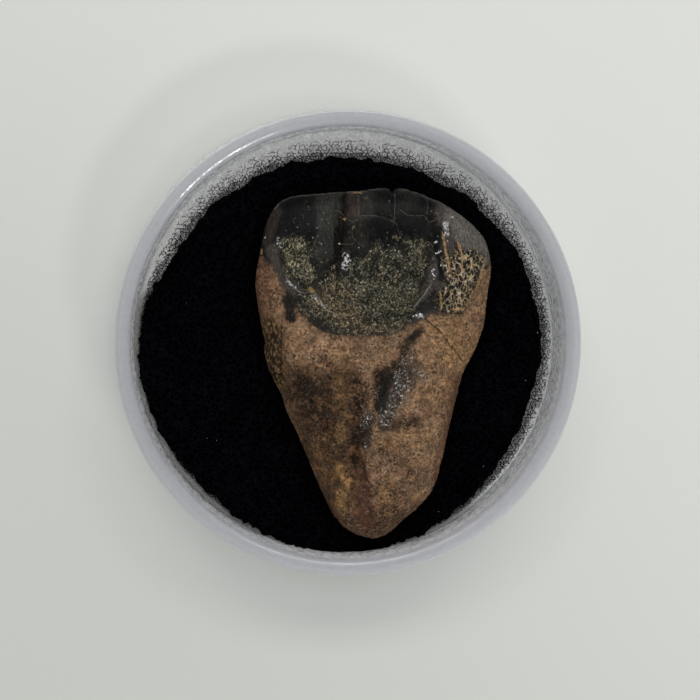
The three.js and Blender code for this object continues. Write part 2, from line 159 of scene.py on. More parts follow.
# Soft marks on the upper face, as seen in the plane of the outline: path, half width, strength
MARKS = {
    "groove_brown": [
        ([(-2.46, 14.1), (-2.6, 12.1)], 0.16, 0.9), ([(-2.6, 12.1), (-2.8, 10.8)], 0.24, 0.95),
        ([(-2.8, 10.8), (-2.85, 9.6), (-2.95, 8.7)], 0.45, 1.0), ([(-3.0, 8.7), (-3.3, 7.7)], 0.3, 0.8),
    ],
    "band_dark": [
        ([(-6.3, 13.6), (-6.1, 12.4), (-5.9, 11.0)], 1.1, 1.0),
        ([(0.9, 14.1), (0.9, 12.3), (1.0, 10.8)], 0.9, 0.5),
        ([(4.7, 13.5), (4.8, 11.4), (5.0, 8.4)], 0.45, 0.8), ([(0.2, 10.9), (3.8, 11.2)], 1.2, 1.0),
        ([(2.3, 13.4), (4.3, 13.0)], 0.8, 0.5), ([(-5.0, 8.2), (-4.2, 7.2)], 0.7, 0.6),
    ],
    # Lighter crown bands: partly the enamel's own tone, partly a painted sheen that stands in for a broad
    # reflection
    "band_light_and_sheen": [
        ([(-3.7, 14.0), (-3.8, 11.4), (-4.1, 9.2)], 0.95, 0.9),
        ([(-0.6, 13.8), (-0.5, 11.4), (-0.6, 9.7)], 0.8, 0.6), ([(3.0, 14.2), (2.9, 13.4)], 0.9, 0.6),
    ],
    "band_brown": [
        ([(-1.75, 13.9), (-1.75, 12.1)], 0.5, 0.9), ([(-8.0, 12.6), (-8.5, 11.2), (-8.8, 10.2)], 0.55, 1.0),
        ([(-1.0, 11.6), (-0.7, 10.2)], 0.5, 0.4),
    ],
    "dish_grain": [
        ([(-6.5, 9.4), (-5.8, 7.2)], 1.2, 1.0), ([(-4.6, 8.2), (-4.0, 6.6)], 0.9, 0.5),
        ([(-5.2, 5.0), (-3.6, 4.2), (-2.2, 3.6)], 1.3, 0.95), ([(-3.4, 6.2), (-3.0, 5.2)], 1.2, 0.95),
        ([(-1.8, 5.6), (1.8, 5.4)], 2.2, 1.0), ([(-0.9, 7.4), (1.8, 8.0)], 1.6, 0.85),
        ([(2.8, 6.6), (3.6, 8.8)], 1.3, 0.9), ([(-1.6, 3.6), (2.2, 3.6)], 1.1, 0.8),
        ([(-2.6, 2.9), (2.2, 2.8)], 0.6, 0.9), ([(5.4, 5.4), (6.2, 4.9)], 0.6, 0.7),
    ],
    "dish_tan": [
        ([(-4.4, 5.4), (-3.0, 4.4), (-1.4, 3.4)], 0.9, 1.0), ([(-3.2, 7.2), (-3.2, 6.2)], 0.25, 1.0),
        ([(-2.6, 6.0), (-2.0, 4.8)], 1.0, 0.6), ([(-0.6, 2.9), (2.0, 3.1)], 0.45, 0.7),
    ],
    "dish_yellow": [
        ([(-6.6, 9.3), (-5.9, 7.4)], 1.0, 0.9), ([(-3.4, 7.6), (-3.2, 6.0)], 0.4, 0.8),
        ([(-5.2, 5.1), (-3.4, 3.5)], 0.6, 0.6), ([(0.4, 9.4), (3.4, 9.8)], 0.9, 0.5),
        ([(-0.6, 7.4), (1.8, 6.4)], 1.5, 0.3), ([(-1.6, 4.4), (1.8, 4.0)], 0.9, 0.25),
    ],
    "fibres": [([(-0.4, 9.9), (4.0, 10.2)], 1.0, 1.0), ([(-6.6, 10.4), (-4.9, 10.2)], 0.8, 0.8)],
    # Painted highlights: where the wet ridge's glints are painted
    "glint": [
        ([(2.3, -1.8), (2.0, -3.2), (1.2, -4.6)], 0.75, 1.0), ([(0.4, -2.2), (0.5, -4.2)], 0.35, 0.6),
        ([(-0.5, -4.3), (-0.8, -5.2)], 0.4, 0.8), ([(2.6, 0.1), (2.0, -1.0)], 0.5, 0.7),
        ([(4.3, -1.4), (3.4, -0.6)], 0.3, 0.8), ([(3.4, 1.0), (3.0, 0.5)], 0.3, 0.6),
        ([(-0.6, -6.4), (-0.6, -7.4)], 0.12, 0.6),
    ],
    "lobe_net": [
        ([(6.9, 8.3), (7.2, 7.0), (6.5, 5.1)], 1.1, 1.0), ([(8.2, 8.6), (8.5, 7.4)], 0.85, 1.0),
        ([(8.0, 6.8), (7.2, 5.0)], 0.6, 0.9),
    ],
    "lip_smooth": [
        ([(-8.3, 9.4), (-7.7, 8.0), (-7.1, 6.8), (-6.4, 6.0), (-5.7, 5.5)], 0.5, 1.0),
        ([(5.0, 8.4), (4.8, 6.6), (4.0, 5.3), (3.2, 4.7)], 0.4, 0.8), ([(5.3, 6.4), (5.8, 5.8)], 0.4, 0.7),
        ([(6.4, 12.6), (8.3, 10.6)], 1.45, 1.0), ([(6.2, 9.6), (6.4, 11.6)], 0.6, 0.8),
        ([(3.4, 3.3), (5.6, 3.9)], 0.6, 0.6),
    ],
    # Painted highlights: white glints on the raised lips and rib of the crown
    "lip_glint": [
        ([(-2.3, 8.75), (-2.15, 8.3), (-2.5, 7.9)], 0.27, 1.0), ([(-7.75, 10.2), (-7.6, 9.5)], 0.16, 0.6),
        ([(-7.1, 6.75), (-6.4, 6.1)], 0.12, 0.75), ([(3.55, 4.0), (4.0, 3.9)], 0.2, 0.9),
        ([(5.9, 11.45), (6.1, 10.65)], 0.22, 0.9), ([(-4.4, 5.0), (-3.9, 4.6)], 0.12, 0.55),
        ([(-5.0, 5.6), (-4.6, 5.2)], 0.12, 0.7),
    ],
    "lobe_pale": [
        ([(6.6, 12.0), (8.2, 10.5), (9.1, 8.9)], 0.9, 1.0), ([(7.2, 10.8), (8.4, 9.4)], 0.7, 0.8),
    ],
    "nodule": [
        ([(-2.42, 11.85), (-2.36, 11.75)], 0.11, 0.85), ([(-1.7, 14.2), (-1.1, 14.15)], 0.1, 1.0),
        ([(-5.2, 6.1), (-5.0, 5.95)], 0.17, 1.0), ([(-9.2, 9.5), (-9.2, 9.1)], 0.12, 0.8),
    ],
    "root_tan": [
        ([(-2.6, -1.1), (-2.7, -3.4), (-2.55, -6.6)], 0.6, 0.55), ([(-2.9, -8.7), (-2.1, -9.9)], 0.45, 0.6),
        ([(-2.6, -10.6), (-2.5, -12.2)], 0.55, 0.6), ([(0.9, -10.5), (1.0, -11.3)], 0.4, 0.7),
        ([(3.4, -11.1), (3.8, -11.1)], 0.35, 0.7), ([(6.0, 3.0), (7.2, 0.8)], 1.7, 0.75),
        ([(4.6, -3.0), (5.6, -1.4)], 1.2, 0.5), ([(1.0, -6.0), (4.6, -6.4)], 0.9, 0.45),
        ([(-3.6, 1.2), (-2.6, 0.4)], 0.9, 0.4), ([(-4.2, -7.2), (-3.6, -9.6)], 0.6, 0.35),
    ],
    # The root's left flank: partly its own darker colour, partly painted shade on the side turned from the
    # light
    "root_left_shade": [
        ([(-6.2, -1.8), (-4.6, -5.0)], 1.8, 1.0), ([(-3.4, -2.0), (-3.6, -7.0), (-2.8, -9.6)], 1.9, 0.95),
        ([(-4.9, -6.6), (-3.2, -11.4)], 1.3, 0.8), ([(-8.2, 2.2), (-7.8, -1.0)], 0.8, 0.8),
    ],
    "root_tip": [
        ([(1.0, -7.2), (3.2, -9.0)], 1.4, 0.55), ([(-2.6, -12.0), (-0.6, -13.4), (1.6, -12.9)], 1.5, 1.0),
        ([(0.8, -10.4), (3.0, -11.6)], 1.2, 0.6),
    ],
    # Dark stain, and painted shade in the sulcus, the diagonal furrow and on the left flank
    "root_dark_and_shade": [
        ([(-5.6, -1.6), (-4.0, -4.6)], 1.2, 0.85), ([(-1.3, -1.7), (-1.25, -4.4), (-1.3, -6.4)], 0.75, 1.0),
        ([(-1.35, -6.0), (-1.35, -8.6)], 0.32, 1.0), ([(3.8, 2.8), (2.7, 1.5), (2.0, -0.5)], 0.38, 0.8),
        ([(2.7, 1.3), (2.55, 0.9)], 0.3, 1.0), ([(-6.95, 5.2), (-6.85, 3.8)], 0.42, 1.0),
        ([(1.9, -5.2), (3.6, -4.9)], 0.7, 0.7), ([(-2.2, -0.6), (2.0, -0.6)], 0.9, 0.35),
        ([(4.6, 1.2), (5.2, 0.0)], 0.8, 0.3), ([(4.6, -4.2), (4.2, -2.4)], 0.6, 0.35),
    ],
    "tip_groove": [
        ([(-1.4, -5.4), (-1.36, -7.2), (-1.1, -8.6)], 0.36, 1.0),
        ([(-1.1, -8.6), (-0.94, -9.9)], 0.58, 1.0),
        ([(-0.94, -10.4), (-0.94, -11.4), (-0.6, -13.2)], 0.78, 1.0),
    ],
    "root_gold": [
        ([(-2.95, -8.7), (-2.2, -9.9)], 0.38, 0.9), ([(-2.75, -10.9), (-2.7, -11.9)], 0.4, 0.8),
    ],
    # Dark patches by the grooves: partly dark stain, partly painted shade
    "dark_patch_and_shade": [
        ([(-7.2, 5.4), (-6.95, 4.5), (-6.8, 3.7)], 0.27, 0.95),
        ([(0.95, -0.9), (0.8, -2.2), (0.5, -3.6)], 0.48, 1.0), ([(1.6, 0.0), (1.3, -1.4)], 0.2, 0.7),
        ([(3.6, 2.6), (2.9, 1.8)], 0.3, 0.8), ([(-6.2, 5.2), (-5.2, 4.6)], 0.35, 0.5),
    ],
    # Painted shadow in the groove beside the wet ridge
    "root_black_shadow": [
        ([(0.45, -0.9), (0.45, -3.6)], 0.55, 1.0), ([(1.6, -0.8), (1.0, -2.0)], 0.35, 0.9),
        ([(-0.35, -4.4), (-0.4, -6.6)], 0.4, 0.5),
    ],
    "root_red": [
        ([(-9.5, 8.4), (-9.3, 5.2), (-9.0, 2.7)], 1.0, 0.9),
        ([(6.9, -1.4), (6.4, -5.5), (5.4, -9.5)], 0.6, 0.9), ([(-1.1, -1.1), (-0.9, -1.4)], 0.5, 0.6),
        ([(-0.9, -8.9), (-0.7, -12.4)], 0.85, 0.5), ([(2.3, 4.1), (3.9, 4.0)], 0.3, 1.0),
        ([(-6.6, 5.0), (-5.4, 5.2)], 0.5, 0.7), ([(0.6, -0.9), (1.2, -0.3)], 0.5, 0.5),
    ],
    "wrinkle": [([(-8.4, 3.1), (-8.4, 1.1), (-7.9, -1.2)], 0.75, 1.0)],
    "wet": [
        ([(2.7, -0.8), (2.0, -1.8), (1.4, -3.2), (0.9, -5.0)], 0.75, 1.0),
        ([(-0.3, -4.6), (-0.6, -6.8)], 0.4, 0.8), ([(3.4, -0.2), (2.9, -1.8)], 0.7, 0.6),
        ([(2.9, 1.2), (2.7, 0.4)], 0.6, 0.5),
    ],
}
# Where a stroke begins to fade and where it is gone, in its half widths
CROWN_FADING = (0.45, 1.55)
ROOT_FADING = (0.1, 1.9)
# Fine lines on the upper face, in the same plane
LINES = {
    "pale_crack": [
        [(-1.3, 13.9), (-1.2, 12.0)],
        [(-3.6, 12.6), (-2.9, 12.6), (-2.3, 12.0), (-1.9, 11.7), (-1.4, 11.7)],
        [(-1.8, 11.7), (-1.7, 10.3), (-0.9, 9.7)], [(-0.9, 12.2), (0.1, 12.2), (1.0, 12.0), (1.7, 11.7)],
        [(1.7, 14.3), (1.7, 11.7), (1.9, 11.5), (2.1, 10.8)],
        [(2.2, 12.6), (2.8, 12.2), (4.2, 12.2), (4.6, 11.6), (5.6, 12.1)],
        [(4.3, 13.9), (4.5, 13.1), (4.4, 12.5)], [(6.0, 12.0), (7.0, 12.1)], [(-2.5, 9.8), (-1.8, 9.8)],
        [(5.0, 6.9), (5.5, 6.7), (6.2, 6.5)], [(3.9, 7.9), (4.4, 8.2), (4.9, 8.2), (5.2, 7.9)],
        [(-4.7, 10.5), (-4.9, 9.8), (-4.6, 9.4)], [(-5.8, 8.5), (-5.2, 8.9), (-4.7, 9.3)],
        [(-6.8, 10.3), (-6.4, 9.8), (-6.3, 9.4)], [(-0.31, 1.9), (-0.31, -4.3)],
    ],
    "dark_crack": [
        [(1.27, 8.2), (1.9, 8.0), (2.5, 7.6), (3.5, 7.1), (4.0, 7.6), (4.8, 8.2)],
        [(4.3, 3.7), (5.0, 3.1), (5.5, 2.6), (6.0, 2.0)], [(6.1, 1.9), (6.5, 1.3), (7.0, 0.8), (7.3, 0.4)],
        [(8.5, 6.3), (8.1, 5.4), (7.7, 4.9), (7.6, 4.5), (7.2, 4.1), (6.5, 4.1), (5.8, 4.2)],
        [(-7.6, 3.1), (-7.7, 1.1), (-7.6, -1.0)], [(-3.02, 7.8), (-3.02, 6.3)],
        [(-0.9, -8.2), (-0.6, -9.6), (0.4, -11.0)],
    ],
    # Painted highlights: thin white glints along the lips
    "lip_glint_streak": [
        [(-7.2, 7.2), (-6.8, 6.5), (-6.2, 5.9), (-5.7, 5.75), (-5.2, 5.9)],
        [(-4.7, 5.7), (-4.1, 4.8), (-3.6, 4.3), (-3.0, 3.9)], [(4.75, 6.6), (4.2, 5.6), (3.5, 4.75)],
        [(5.9, 11.5), (6.1, 10.6)], [(5.6, 13.2), (5.9, 12.7)],
    ],
    "ochre_streak": [
        [(5.7, 10.6), (5.9, 9.6), (6.2, 8.4), (6.3, 7.6)], [(7.0, 9.9), (7.35, 8.8), (7.3, 8.0)],
        [(9.2, 8.2), (8.7, 6.6), (8.0, 5.3), (7.5, 4.5), (6.6, 4.4)], [(5.5, 5.6), (5.6, 4.6)],
    ],
}
# White crumbs caught on the crown, and painted glints on the dish's right wall, in the same plane: x, y,
# radius
CRUMBS_AND_GLINTS = [
    (-2.8, 9.9, 0.07), (-4.7, 11.2, 0.05), (5.2, 10.02, 0.07), (5.05, 9.98, 0.05), (5.1, 9.06, 0.06),
    (5.25, 9.1, 0.06), (5.4, 9.16, 0.06), (5.55, 9.25, 0.05), (5.6, 8.08, 0.07), (4.95, 7.72, 0.06),
    (5.15, 7.75, 0.05), (4.9, 7.38, 0.06), (5.05, 7.2, 0.06), (4.8, 7.6, 0.05), (4.95, 6.95, 0.05),
    (5.3, 10.45, 0.04), (3.55, 3.95, 0.08), (3.85, 4.05, 0.08),
    (5.9, 11.35, 0.06), (5.88, 11.2, 0.05), (5.92, 10.75, 0.07), (5.85, 10.6, 0.06), (6.1, 10.1, 0.05),
    (-7.9, 9.9, 0.06), (4.9, 8.6, 0.05), (-5.0, 10.4, 0.04), (6.6, -4.2, 0.05), (-8.9, 10.4, 0.05),
    (6.4, 12.05, 0.05), (6.55, 12.05, 0.05), (-4.45, 9.95, 0.05), (-4.25, 9.85, 0.04), (-3.95, 9.15, 0.04),
    (1.2, 9.75, 0.05), (0.55, 10.2, 0.04), (3.1, 9.6, 0.04), (-1.2, 9.55, 0.05), (-0.6, 9.35, 0.04),
]


# Numbers for surfaces

def lattice(ix, iy, iz, seed):
    """Repeatable values from 0 to 1 for whole-number places."""
    h = (ix * 374761393 + iy * 668265263 + iz * 1103515245 + seed * 974634777) & 0xFFFFFFFF
    h = ((h ^ (h >> 13)) * 1274126177) & 0xFFFFFFFF
    h = h ^ (h >> 16)
    return (h & 0xFFFF) / 65535.0


def drift(points, cell, seed):
    """Smooth noise from -1 to 1 with features about one cell wide."""
    scaled = points / cell
    base = np.floor(scaled).astype(np.int64)
    t = scaled - base
    t = t * t * (3 - 2 * t)
    total = np.zeros(len(points))
    for dx in (0, 1):
        for dy in (0, 1):
            for dz in (0, 1):
                weight = (
                    (t[:, 0] if dx else 1 - t[:, 0])
                    * (t[:, 1] if dy else 1 - t[:, 1])
                    * (t[:, 2] if dz else 1 - t[:, 2])
                )
                total += weight * lattice(base[:, 0] + dx, base[:, 1] + dy, base[:, 2] + dz, seed)
    return total * 2 - 1


def rough_drift(points, cell, seed):
    """Noise of three sizes, each half the last."""
    total = np.zeros(len(points))
    for octave in range(3):
        total += drift(points, cell / 2**octave, seed + octave) / 2**octave
    return total / 1.6


def pebbles(points, cell, seed):
    """Distance to the nearest of scattered seeds, in cells: low on each grain, high between."""
    scaled = points / cell
    base = np.floor(scaled).astype(np.int64)
    nearest = np.full(len(points), 9.0)
    for dx in (-1, 0, 1):
        for dy in (-1, 0, 1):
            for dz in (-1, 0, 1):
                c = base + (dx, dy, dz)
                gap = np.zeros(len(points))
                for axis in range(3):
                    spot = c[:, axis] + lattice(c[:, 0], c[:, 1], c[:, 2], seed + axis)
                    gap += (scaled[:, axis] - spot) ** 2
                nearest = np.minimum(nearest, gap)
    return np.sqrt(nearest)


def ease(value, low, high):
    t = np.clip((value - low) / (high - low), 0, 1)
    return t * t * (3 - 2 * t)


def path_gap(x, y, path):
    """Signed distance to a path: positive on its left side as it runs."""
    nearest = np.full(x.shape, 1e9)
    side = np.ones(x.shape)
    for (ax, ay), (bx, by) in zip(path, path[1:]):
        length = (bx - ax) ** 2 + (by - ay) ** 2
        t = np.clip(((x - ax) * (bx - ax) + (y - ay) * (by - ay)) / max(length, 1e-9), 0, 1)
        gap = np.hypot(x - ax - t * (bx - ax), y - ay - t * (by - ay))
        closer = gap < nearest
        nearest = np.where(closer, gap, nearest)
        turn = (bx - ax) * (y - ay) - (by - ay) * (x - ax)
        side = np.where(closer, np.where(turn >= 0, 1.0, -1.0), side)
    return nearest * side


def interpolated(places, knots, curve):
    return np.stack([np.interp(places, knots, curve[:, axis]) for axis in (0, 1)], axis=-1)


def spline_points(points, count=1600):
    """Evenly spaced points on the smooth curve through the given ones."""
    p = np.array(points, float)
    t = np.linspace(0, len(p) - 1, 200 * (len(p) - 1) + 1)
    i = np.minimum(t.astype(int), len(p) - 2)
    w = (t - i)[:, None]
    p0, p1, p2 = p[np.maximum(i - 1, 0)], p[i], p[i + 1]
    p3 = p[np.minimum(i + 2, len(p) - 1)]
    v0, v1 = (p2 - p0) / 2, (p3 - p1) / 2
    curve = ((2 * p1 - 2 * p2 + v0 + v1) * w**3 + (-3 * p1 + 3 * p2 - 2 * v0 - v1) * w**2 + v0 * w + p1)
    run = np.concatenate([[0], np.cumsum(np.hypot(*np.diff(curve, axis=0).T))])
    return interpolated(np.linspace(0, run[-1], count), run, curve)


def along_curve(curve, share):
    return interpolated(share * (len(curve) - 1), np.arange(len(curve)), curve)


def profile_at(profile, share):
    place = share * (len(profile) - 1)
    index = np.minimum(np.floor(place).astype(int), len(profile) - 2)
    straight = place - index
    mix = (straight + ease(straight, 0, 1)) / 2
    values = np.array(profile)
    return values[index] * (1 - mix) + values[index + 1] * mix


def round_off(distance, radius):
    t = np.clip(distance / radius, 0, 1)
    return np.sqrt(1 - (1 - t) ** 2)


def relief(x, y, forms, lines):
    height = np.zeros(x.shape)
    for form_x, form_y, half_width, half_length, rise in forms:
        height += rise * np.exp(-(((x - form_x) / half_width) ** 2) - ((y - form_y) / half_length) ** 2)
    for path, width, rise in lines:
        height += rise * np.exp(-((path_gap(x, y, path) / width) ** 2))
    return height


def mark_strength(x, y, strokes, core, fade):
    """Strokes that fade from core to fade times their half width, the strongest where they overlap."""
    strength = np.zeros(x.shape)
    for path, half_width, amount in strokes:
        gap = np.abs(path_gap(x, y, path))
        strength = np.maximum(strength, amount * (1 - ease(gap, half_width * core, half_width * fade)))
    return strength


# Meshes

def make_object(name, points_mm, faces, material):
    mesh = bpy.data.meshes.new(name)
    mesh.from_pydata((points_mm * MM).tolist(), [], faces)
    mesh.polygons.foreach_set("use_smooth", np.ones(len(mesh.polygons), dtype=bool))
    mesh.materials.append(material)
    mesh.update()
    piece = bpy.data.objects.new(name, mesh)
    bpy.context.scene.collection.objects.link(piece)
    return piece


def keep_values(piece, values):
    for name, value in values.items():
        layer = piece.data.attributes.new(name, "FLOAT", "POINT")
        layer.data.foreach_set("value", np.ascontiguousarray(value, dtype=np.float32))


def vertex_directions(mesh):
    normals = np.zeros(len(mesh.vertices) * 3)
    mesh.vertex_normals.foreach_get("vector", normals)
    return normals.reshape(-1, 3)


def ring_faces(rings, size):
    """Quads between rings of the same size that follow each other."""
    i = np.arange(rings - 1)[:, None] * size
    k = np.arange(size)[None, :]
    here, after = i + k, i + (k + 1) % size
    return np.stack([here, here + size, after + size, after], axis=-1).reshape(-1, 4)


def closed_faces(rings, size):
    """Faces over such rings, closed by a fan round one more point at each end."""
    k = np.arange(size)
    after = (k + 1) % size
    last = (rings - 1) * size
    first_fan = np.stack([np.full(size, rings * size), k, after], axis=-1)
    last_fan = np.stack([np.full(size, rings * size + 1), last + after, last + k], axis=-1)
    return ring_faces(rings, size).tolist() + first_fan.tolist() + last_fan.tolist()


def circle(turn, radius=1.0):
    return np.stack([np.cos(turn) * radius, np.sin(turn) * radius], axis=-1)


def settle(piece, slot, *nodes):
    """Rides the piece on the body and hides the nodes that it stands for; the slot that would name its finish
    is not used.
    """
    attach(piece, "root")
    if nodes:
        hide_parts(*nodes)
    return piece


# Nodes

class Value:
    """What a node puts out. Adding, subtracting, multiplying or dividing makes a maths node."""

    def __init__(self, tree, socket):
        self.tree = tree
        self.socket = socket

    def __add__(self, other):
        return calc(self.tree, "ADD", self, other)

    def __radd__(self, other):
        return calc(self.tree, "ADD", other, self)

    def __sub__(self, other):
        return calc(self.tree, "SUBTRACT", self, other)

    def __rsub__(self, other):
        return calc(self.tree, "SUBTRACT", other, self)

    def __mul__(self, other):
        return calc(self.tree, "MULTIPLY", self, other)

    def __rtruediv__(self, other):
        return calc(self.tree, "DIVIDE", other, self)

    def other_output(self, name):
        """What the same node puts out by another name."""
        return Value(self.tree, self.socket.node.outputs[name])


def fill(node, inputs):
    """Links each value to its input, and sets plain numbers and colours on the input itself."""
    for socket, value in inputs.items():
        if isinstance(value, Value):
            value.tree.links.new(value.socket, node.inputs[socket])
        else:
            node.inputs[socket].default_value = value


def add_node(tree, kind, inputs, output=0, **settings):
    node = tree.nodes.new(kind)
    for name, setting in settings.items():
        setattr(node, name, setting)
    fill(node, inputs)
    return Value(tree, node.outputs[output])


def calc(tree, operation, first, second=0.0):
    return add_node(tree, "ShaderNodeMath", {0: first, 1: second}, operation=operation)


def vector_calc(operation, inputs, output=0):
    return add_node(inputs[0].tree, "ShaderNodeVectorMath", inputs, output, operation=operation)


def between(value, low, high, to_low=0.0, to_high=1.0):
    """A smooth step that turns low into to_low and high into to_high."""
    inputs = {0: value, 1: low, 2: high, 3: to_low, 4: to_high}
    return add_node(value.tree, "ShaderNodeMapRange", inputs, interpolation_type="SMOOTHSTEP")


def soft_step(value, level, softness):
    return between(value, level - softness, level + softness)


def blend(share, first, second):
    inputs = {0: share, 6: first, 7: second}
    return add_node(share.tree, "ShaderNodeMix", inputs, output=2, data_type="RGBA")


def strongest(*masks):
    result = masks[0]
    for mask in masks[1:]:
        result = calc(result.tree, "MAXIMUM", result, mask)
    return result


def noise(place, scale, detail=3.0, roughness=0.55, distortion=0.0, output=0):
    inputs = {
        "Vector": place, "Scale": scale, "Detail": detail,
        "Roughness": roughness, "Distortion": distortion,
    }
    return add_node(place.tree, "ShaderNodeTexNoise", inputs, output)


def cell_edge(place, scale):
    """Distance to the border between scattered cells."""
    inputs = {"Vector": place, "Scale": scale}
    return add_node(place.tree, "ShaderNodeTexVoronoi", inputs, "Distance", feature="DISTANCE_TO_EDGE")


def stretched(place, x, y, z):
    return vector_calc("MULTIPLY", {0: place, 1: (x, y, z)})


def shaded(colour, factor):
    """A colour made lighter or darker without changing its hue."""
    return vector_calc("SCALE", {0: colour, "Scale": factor})


def mesh_value(place, name):
    """A number kept on the mesh, for the tree that the place is in."""
    return add_node(place.tree, "ShaderNodeAttribute", {}, "Fac", attribute_name=name)


def bump(height, depth_mm):
    inputs = {"Height": height, "Distance": depth_mm * MM, "Strength": 1.0}
    return add_node(height.tree, "ShaderNodeBump", inputs, "Normal")


def paint(red, green, blue, lift=1.18):
    """A colour as it shows in even light, 0 to 255, made a little lighter for the surface itself."""
    def linear(value):
        v = value / 255
        return v / 12.92 if v <= 0.04045 else ((v + 0.055) / 1.055) ** 2.4
    return (linear(red) * lift, linear(green) * lift, linear(blue) * lift, 1.0)


def new_material(name):
    """A material, places on its piece in millimetres, and its shader."""
    material = bpy.data.materials.new(name)
    material.use_nodes = True
    tree = material.node_tree
    metres = add_node(tree, "ShaderNodeTexCoord", {}, "Object")
    place = vector_calc("SCALE", {0: metres, "Scale": 1 / MM})
    return material, place, tree.nodes["Principled BSDF"]


# Effects that several materials or several places of one share

def new_effect(name, inputs, outputs):
    """A node group, what goes into it by name, and its output node. An input of None is a place."""
    group = bpy.data.node_groups.new(name, "ShaderNodeTree")
    for socket, value in inputs.items():
        kind = "NodeSocketVector" if value is None else "NodeSocketFloat"
        made = group.interface.new_socket(name=socket, in_out="INPUT", socket_type=kind)
        if value is not None:
            made.default_value = value
    for socket in outputs:
        group.interface.new_socket(name=socket, in_out="OUTPUT", socket_type="NodeSocketFloat")
    given = {socket.name: Value(group, socket) for socket in group.nodes.new("NodeGroupInput").outputs}
    return group, given, group.nodes.new("NodeGroupOutput")


def ragged_edge_effect():
    """Breaks the edge of a soft mask up into a natural one."""
    inputs = {"Mask": 0.5, "Place": None, "Scale": 3.0, "Raggedness": 0.6, "Softness": 0.12}
    group, given, result = new_effect("ragged edge", inputs, ["Mask"])
    shift = (noise(given["Place"], given["Scale"], 5.0, 0.68) - 0.5) * given["Raggedness"]
    fill(result, {"Mask": soft_step(given["Mask"] + shift, 0.5, given["Softness"])})
    return group


def strands_effect():
    """Short fibres that all lie one way."""
    inputs = {"Place": None, "Turn": 0.0, "Length": 0.8, "Width": 0.2, "Amount": 0.5, "Softness": 0.04}
    group, given, result = new_effect("strands", inputs, ["Mask"])
    turning = {"Vector": given["Place"], "Angle": given["Turn"]}
    turned = add_node(group, "ShaderNodeVectorRotate", turning, rotation_type="Z_AXIS")
    across = 1.0 / given["Width"]
    along = 1.0 / given["Length"]
    size = add_node(group, "ShaderNodeCombineXYZ", {0: across, 1: along, 2: across})
    fibres = noise(vector_calc("MULTIPLY", {0: turned, 1: size}), 1.0, 2.0, 0.5, 0.25)
    level = between(given["Amount"], 0.0, 1.0, 0.72, 0.34)
    fill(result, {"Mask": soft_step(fibres, level, given["Softness"])})
    return group


def flecks_effect():
    """Small irregular grains of one colour in another."""
    inputs = {"Place": None, "Scale": 5.0, "Amount": 0.5, "Softness": 0.05, "Twist": 0.4}
    group, given, result = new_effect("flecks", inputs, ["Mask"])
    grains = noise(given["Place"], given["Scale"], 3.0, 0.65, given["Twist"])
    level = between(given["Amount"], 0.0, 1.0, 0.75, 0.3)
    fill(result, {"Mask": soft_step(grains, level, given["Softness"])})
    return group


def hairline_effect():
    """A fine wavering line where a distance kept on the mesh passes through nought."""
    inputs = {"Distance": 1.0, "Presence": 0.0, "Place": None, "Half Width": 0.05, "Waver": 0.12}
    group, given, result = new_effect("hairline", inputs, ["Mask"])
    wave = (noise(given["Place"], 3.2) - 0.5) * given["Waver"]
    gap = calc(group, "ABSOLUTE", given["Distance"] + wave)
    line = 1.0 - between(gap, given["Half Width"] * 0.4, given["Half Width"])
    broken = between(noise(given["Place"], 2.1), 0.32, 0.5, 0.35, 1.0)
    fill(result, {"Mask": line * between(given["Presence"], 0.3, 0.6) * broken})
    return group


def foam_cell_effect():
    """The open cells of foam: struts round dark pores."""
    inputs = {"Place": None, "Cell Size": 0.35}
    group, given, result = new_effect("foam cells", inputs, ["Strut", "Height"])
    scale = 1.0 / given["Cell Size"]
    fine = noise(given["Place"], scale * 2.0, 2.0)
    strut = 1.0 - between(cell_edge(given["Place"], scale) + (fine - 0.5) * 0.25, 0.0, 0.3)
    fill(result, {"Strut": strut, "Height": strut + fine * 0.3})
    return group


EFFECTS = {
    "ragged": ragged_edge_effect(),
    "flecks": flecks_effect(),
    "hairline": hairline_effect(),
    "cells": foam_cell_effect(),
    "strands": strands_effect(),
}


def effect(place, kind, inputs, output="Mask"):
    everything = {"Place": place, **inputs}
    return add_node(place.tree, "ShaderNodeGroup", everything, output, node_tree=EFFECTS[kind])


def frayed(place, name, scale, raggedness, softness):
    """A mark kept on the mesh, with its edge broken up."""
    inputs = {"Scale": scale, "Raggedness": raggedness, "Softness": softness}
    return effect(place, "ragged", {"Mask": mesh_value(place, name), **inputs})


def strands(place, turn, length, width, amount):
    return effect(place, "strands", {"Turn": turn, "Length": length, "Width": width, "Amount": amount})


def flecks(place, scale, amount, softness, twist):
    inputs = {"Scale": scale, "Amount": amount, "Softness": softness, "Twist": twist}
    return effect(place, "flecks", inputs)


def hairline(place, name, half_width, waver=0.12):
    gap, on = mesh_value(place, f"{name}_gap"), mesh_value(place, f"{name}_on")
    inputs = {"Distance": gap, "Presence": on, "Half Width": half_width, "Waver": waver}
    return effect(place, "hairline", inputs)


def layer_paint(place, colour, layers, softness):
    """Paints marks over a colour, one after another: mark, share, scale and fraying of its edge, colour."""
    for name, share, scale, fraying, shade in layers:
        colour = blend(frayed(place, name, scale, fraying, softness) * share, colour, shade)
    return colour


# Materials

